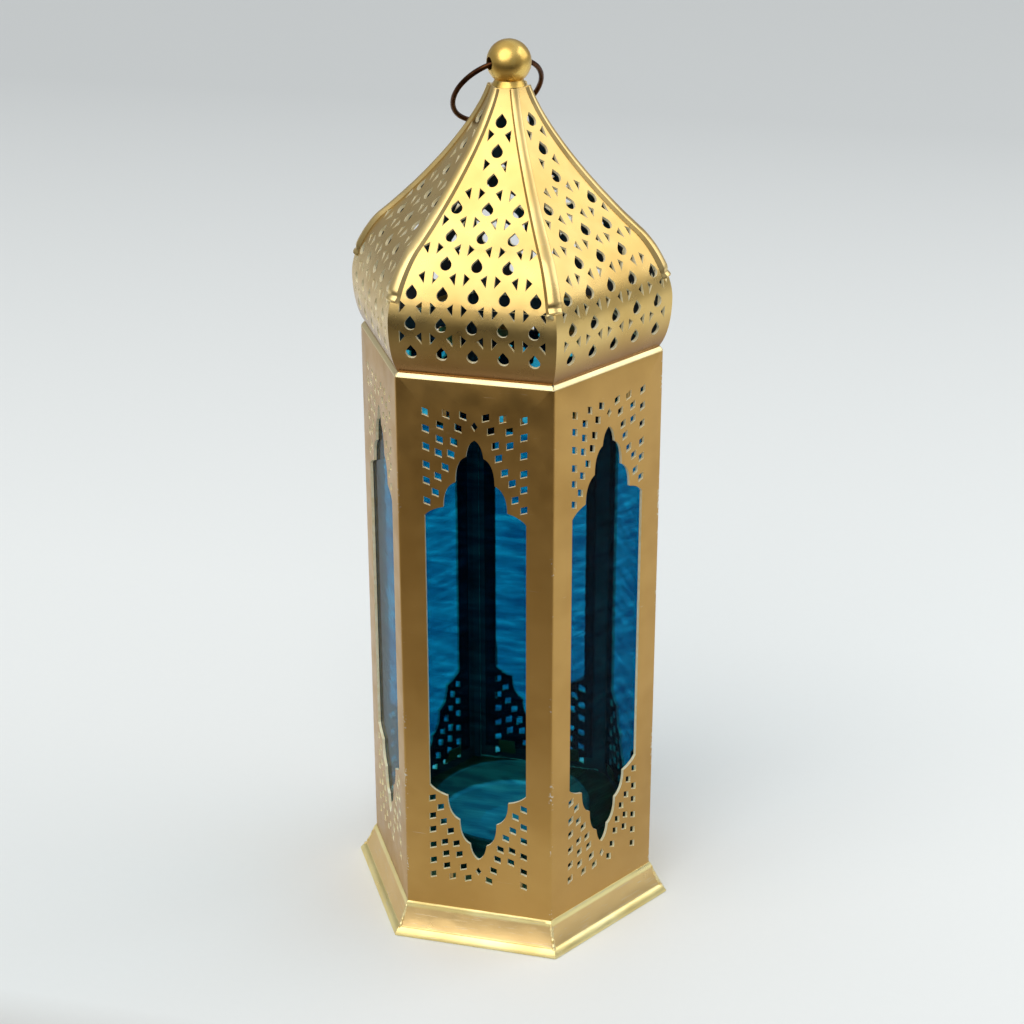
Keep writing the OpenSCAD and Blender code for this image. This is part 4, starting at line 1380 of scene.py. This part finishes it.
@dataclass
class Finial:
    """The ball on its collar, what holds it, and the hanging ring."""

    ball_r: float = 6.9
    collar_r: float = 5.5
    collar_h: float = 1.4
    neck_out: float = 0.1
    collar_edge: tuple = ((0.5, 0.5), (0.2, 0.0))
    stud_r: float = 1.55
    stud_room: float = 0.05
    cross_r: float = 2.0
    yaw: float = 40.0
    ring_r: float = 14.5
    ring_steps: int = 110
    wire_r: float = 0.85
    wire_share: float = 0.965
    wire_uneven: float = 0.03
    tilt: float = 38.5

    @property
    def centre(self) -> float:
        """Height of the ball's centre."""
        return top_of("finial_ball") - self.ball_r

    def ball(self) -> BMesh:
        """The ball turned with its collar, before the ring's hole is drilled."""
        z, low = self.centre, box_mm("finial_ball")[0].z
        stud_top = top_of("finial_stud") + self.stud_room
        ball = arc((0, z), self.ball_r, 90, -50, 35)
        foot = [(ball[-1][0] + self.neck_out, low + self.collar_h)]
        foot += [(self.collar_r - inward, low + up) for inward, up in self.collar_edge]
        ball[0] = (0, z + self.ball_r)
        return spun([*ball, *foot, (self.stud_r, low), (self.stud_r, stud_top), (0, stud_top)], 72)

    def drill(self, piece: bpy.types.Object) -> None:
        """Drills the ring's hole across the ball and keeps the result as its mesh."""
        bit = bmesh.new()
        r = self.cross_r * MM
        bmesh.ops.create_cone(
            bit, cap_ends=True, segments=40, radius1=r, radius2=r, depth=3 * self.ball_r * MM
        )
        turned = Matrix.Rotation(math.radians(self.yaw), 4, "Z") @ Matrix.Rotation(math.pi / 2, 4, "Y")
        moved(bit, Matrix.Translation((0, 0, self.centre * MM)) @ turned)
        tool = new_object("drill_bit", new_mesh(bit, "drill_bit"))
        cut = piece.modifiers.new("hole", "BOOLEAN")
        cut.object, cut.operation, cut.solver = tool, "DIFFERENCE", "EXACT"
        keep_as_mesh(piece)
        bpy.data.objects.remove(tool)

    def ring(self) -> BMesh:
        """The wire ring as it leans on the dome, drawn a little uneven."""
        drop = self.ring_r - (self.ring_r - math.sqrt(self.ring_r**2 - self.ball_r**2)) / 2
        bm = bmesh.new()
        bmesh.ops.create_circle(bm, segments=18, radius=self.wire_r)
        moved(bm, Matrix.Translation((self.ring_r, 0, 0)) @ Matrix.Rotation(math.pi / 2, 4, "X"))
        full_turn(bm, self.ring_steps)
        for vert in bm.verts:
            spine = Vector((vert.co.x, vert.co.y, 0)).normalized() * self.ring_r
            share = self.wire_share + self.wire_uneven * wobble(vert.co, 4.0, 2.0)
            vert.co = spine + (vert.co - spine) * share
        hang = (
            Matrix.Translation((0, 0, self.centre))
            @ Matrix.Rotation(math.radians(self.yaw), 4, "Z")
            @ Matrix.Rotation(math.radians(self.tilt), 4, "X")
            @ Matrix.Translation((0, 0, -drop))
            @ Matrix.Rotation(math.pi / 2, 4, "X")
        )
        return moved(bm, hang)

    def build(self) -> None:
        """Builds and dresses the ball, the ring, the stud, the washer and the nut."""
        ball = to_piece(self.ball(), "turned_ball", BALL_BRASS, nodes=["finial_ball"])
        self.drill(ball)
        to_piece(self.ring(), "wire_ring", DARK_BRONZE, "hanging_ring", ["hanging_ring"])
        for name in ("stud", "washer", "nut"):
            to_piece(
                softened(f"finial_{name}"), f"plated_{name}", ZINC_STEEL,
                nodes=[f"finial_{name}"], edge=0.12,
            )


@dataclass
class DoorFittings:
    """The two hinges with their rivets, and the turn button on its rivet."""

    plan: Plan
    rivet_r: float = 1.1
    rivet_h: float = 0.45
    rivet_sunk: float = 0.1
    rivet_in: float = 2.2
    rivet_up: float = 3.1
    leaf_w: float = 8.0
    leaf_t: float = 0.5

    def rivets(self, bm: BMesh, places: Iterable[Vector], look: Look, face: float) -> None:
        """Adds low domed rivet heads to a leaf.

        Args:
            bm: The leaf.
            places: Where they go on the face: x as drawn facing +Y, and height.
            look: The direction that the face looks to.
            face: Distance from the axis to the leaf's outer face.
        """
        turns = [math.radians(turn) for turn in range(0, 90, 15)]
        crown = [(self.rivet_r * math.cos(a), self.rivet_h * math.sin(a)) for a in turns]
        for place in places:
            head = spun([(self.rivet_r, -self.rivet_sunk), *crown, (0, self.rivet_h)], 20)
            upright = Matrix.Rotation(-math.pi / 2, 4, "X")
            lay = look.turn @ Matrix.Translation((place.x, face, place.z)) @ upright
            kept = new_mesh(moved(head, lay), "rivet_head")
            bm.from_mesh(kept)
            bpy.data.meshes.remove(kept)

    def build(self) -> None:
        """Builds and dresses the leaves, the pins, the button and its rivet."""
        for level in ("upper", "lower"):
            for side, body in (("body", "root"), ("door", "door")):
                node = f"hinge_{level}_{side}_leaf"
                low, high = box_mm(node)
                bm = softened(node)
                heights = [low.z + self.rivet_up, high.z - self.rivet_up]
                if side == "door":
                    spots = [Vector((high.x - self.rivet_in, 0, z)) for z in heights]
                    self.rivets(bm, spots, Look.BACK, self.plan.flat_r + self.plan.sheet_t)
                else:
                    pin = Look.BACK_LEFT.turn.inverted() @ self.pin_line()
                    spots = [Vector((pin.x - self.leaf_w + self.rivet_in, 0, z)) for z in heights]
                    self.rivets(bm, spots, Look.BACK_LEFT, self.plan.flat_r + self.leaf_t)
                to_piece(bm, f"folded_{node}", FITTING_LACQUER, body, [node], edge=0.1)
            pin = f"hinge_{level}_pin"
            to_piece(softened(pin), f"plated_{pin}", ZINC_STEEL, nodes=[pin], edge=0.15)
        button, rivet = "turn_button", "latch_rivet"
        to_piece(
            softened(button), "stamped_turn_button", FITTING_LACQUER, button, [button],
            edge=0.15,
        )
        to_piece(softened(rivet), "latch_rivet_head", ZINC_STEEL, nodes=[rivet], edge=0.2)

    def pin_line(self) -> Vector:
        """Where the hinge pins stand, seen from above."""
        low, high = box_mm("hinge_lower_pin")
        return Vector(((low.x + high.x) / 2, (low.y + high.y) / 2, 0))


@dataclass
class Studio:
    """The pale floor, the soft light and the camera."""

    floor_back: float = 6.0
    floor_front: float = -3.0
    floor_side: float = 4.0
    camera_turn: float = 0.253
    camera_rise: float = 0.422
    camera_roll: float = -0.002
    lens: float = 77.34
    aim_height: float = 0.1401
    aim_right: float = 0.00065
    distance: float = 0.729
    lit: Vector = field(default_factory=lambda: Vector((0, 0, 0.24)))
    window: Vector = field(default_factory=lambda: Vector((-0.2, -0.69, 0.7)))
    window_power: float = 1.55
    window_angle: float = 64.0
    softbox: Vector = field(default_factory=lambda: Vector((1.15, 0.46, 1.02)))
    softbox_power: float = 6.0
    softbox_size: Point = (1.2, 1.1)
    air_z: Point = (0.3, 0.9)
    air_power: Point = (0.41, 0.86)

    def floor(self) -> None:
        """Lays the studio paper."""
        bm = bmesh.new()
        bmesh.ops.create_grid(bm, x_segments=8, y_segments=8, size=1)
        for vert in bm.verts:
            away = self.floor_front + (vert.co.y + 1) / 2 * (self.floor_back - self.floor_front)
            vert.co = Vector((vert.co.x * self.floor_side, away, 0))
        floor = new_object("studio_floor", new_mesh(bm, "studio_floor"))
        floor.data.materials.append(PAPER.material())

    def lamp(self, name: str, kind: str, at: Vector, power: float, **settings: object) -> None:
        """Hangs one lamp that points at the dome.

        Args:
            name: Its name.
            kind: Its Blender type.
            at: Where it hangs, in metres.
            power: Its strength.
            **settings: Its other settings.
        """
        light = bpy.data.lights.new(name, kind)
        light.energy = power
        for key, value in settings.items():
            setattr(light, key, value)
        lamp = new_object(name, light)
        lamp.location = at
        lamp.rotation_mode = "QUATERNION"
        lamp.rotation_quaternion = (self.lit - at).to_track_quat("-Z", "Y")

    def light(self) -> None:
        """Hangs the lamps and sets the world."""
        self.lamp(
            "window_light", "SUN", self.lit + self.window, self.window_power,
            angle=math.radians(self.window_angle), color=linear("#fffaf2")[:3],
        )
        width, height = self.softbox_size
        self.lamp(
            "right_softbox", "AREA", self.softbox, self.softbox_power,
            shape="RECTANGLE", size=width, size_y=height,
        )
        world = bpy.data.worlds.new("studio_air")
        world.use_nodes = True
        tree = world.node_tree
        way = add_node(tree, "TexCoord").outputs["Generated"]
        up = add_node(tree, "SeparateXYZ", {0: way}).outputs["Z"]
        (low, high), (dim, bright) = self.air_z, self.air_power
        glow = add_node(
            tree, "MapRange", {0: up, 1: low, 2: high, 3: dim, 4: bright}, interpolation_type="SMOOTHSTEP"
        )
        back = tree.nodes["Background"]
        back.inputs["Color"].default_value = linear("#eef1f3")
        tree.links.new(glow.outputs[0], back.inputs["Strength"])
        bpy.context.scene.world = world

    def camera(self) -> None:
        """Puts the camera at the photograph's viewing angle."""
        a, e = self.camera_turn, self.camera_rise
        right = Vector((math.cos(a), math.sin(a), 0))
        back = Vector((math.sin(a) * math.cos(e), -math.cos(a) * math.cos(e), math.sin(e)))
        lens = bpy.data.cameras.new("camera")
        lens.lens, lens.sensor_width = self.lens, 36
        camera = new_object("camera", lens)
        axes = Matrix((right, back.cross(right), back)).transposed().to_4x4()
        place = Vector((0, 0, self.aim_height)) + self.aim_right * right + self.distance * back
        camera.matrix_world = Matrix.Translation(place) @ axes @ Matrix.Rotation(self.camera_roll, 4, "Z")
        bpy.context.scene.camera = camera

    def build(self) -> None:
        """Sets up floor, light and camera."""
        self.floor()
        self.light()
        self.camera()
        bpy.context.scene.view_settings.view_transform = "Standard"


def main() -> None:
    """Builds each sub-assembly, dresses it and sets up the studio."""
    logging.basicConfig(level=logging.INFO, format="%(message)s")
    plan = Plan()
    shell = (Base(plan), PiercedWalls(plan), Glazing(plan), Dome(plan))
    for part in (*shell, Finial(), DoorFittings(plan), Studio()):
        part.build()
        LOG.info("%s done", type(part).__name__)


if __name__ == "__main__":
    main()
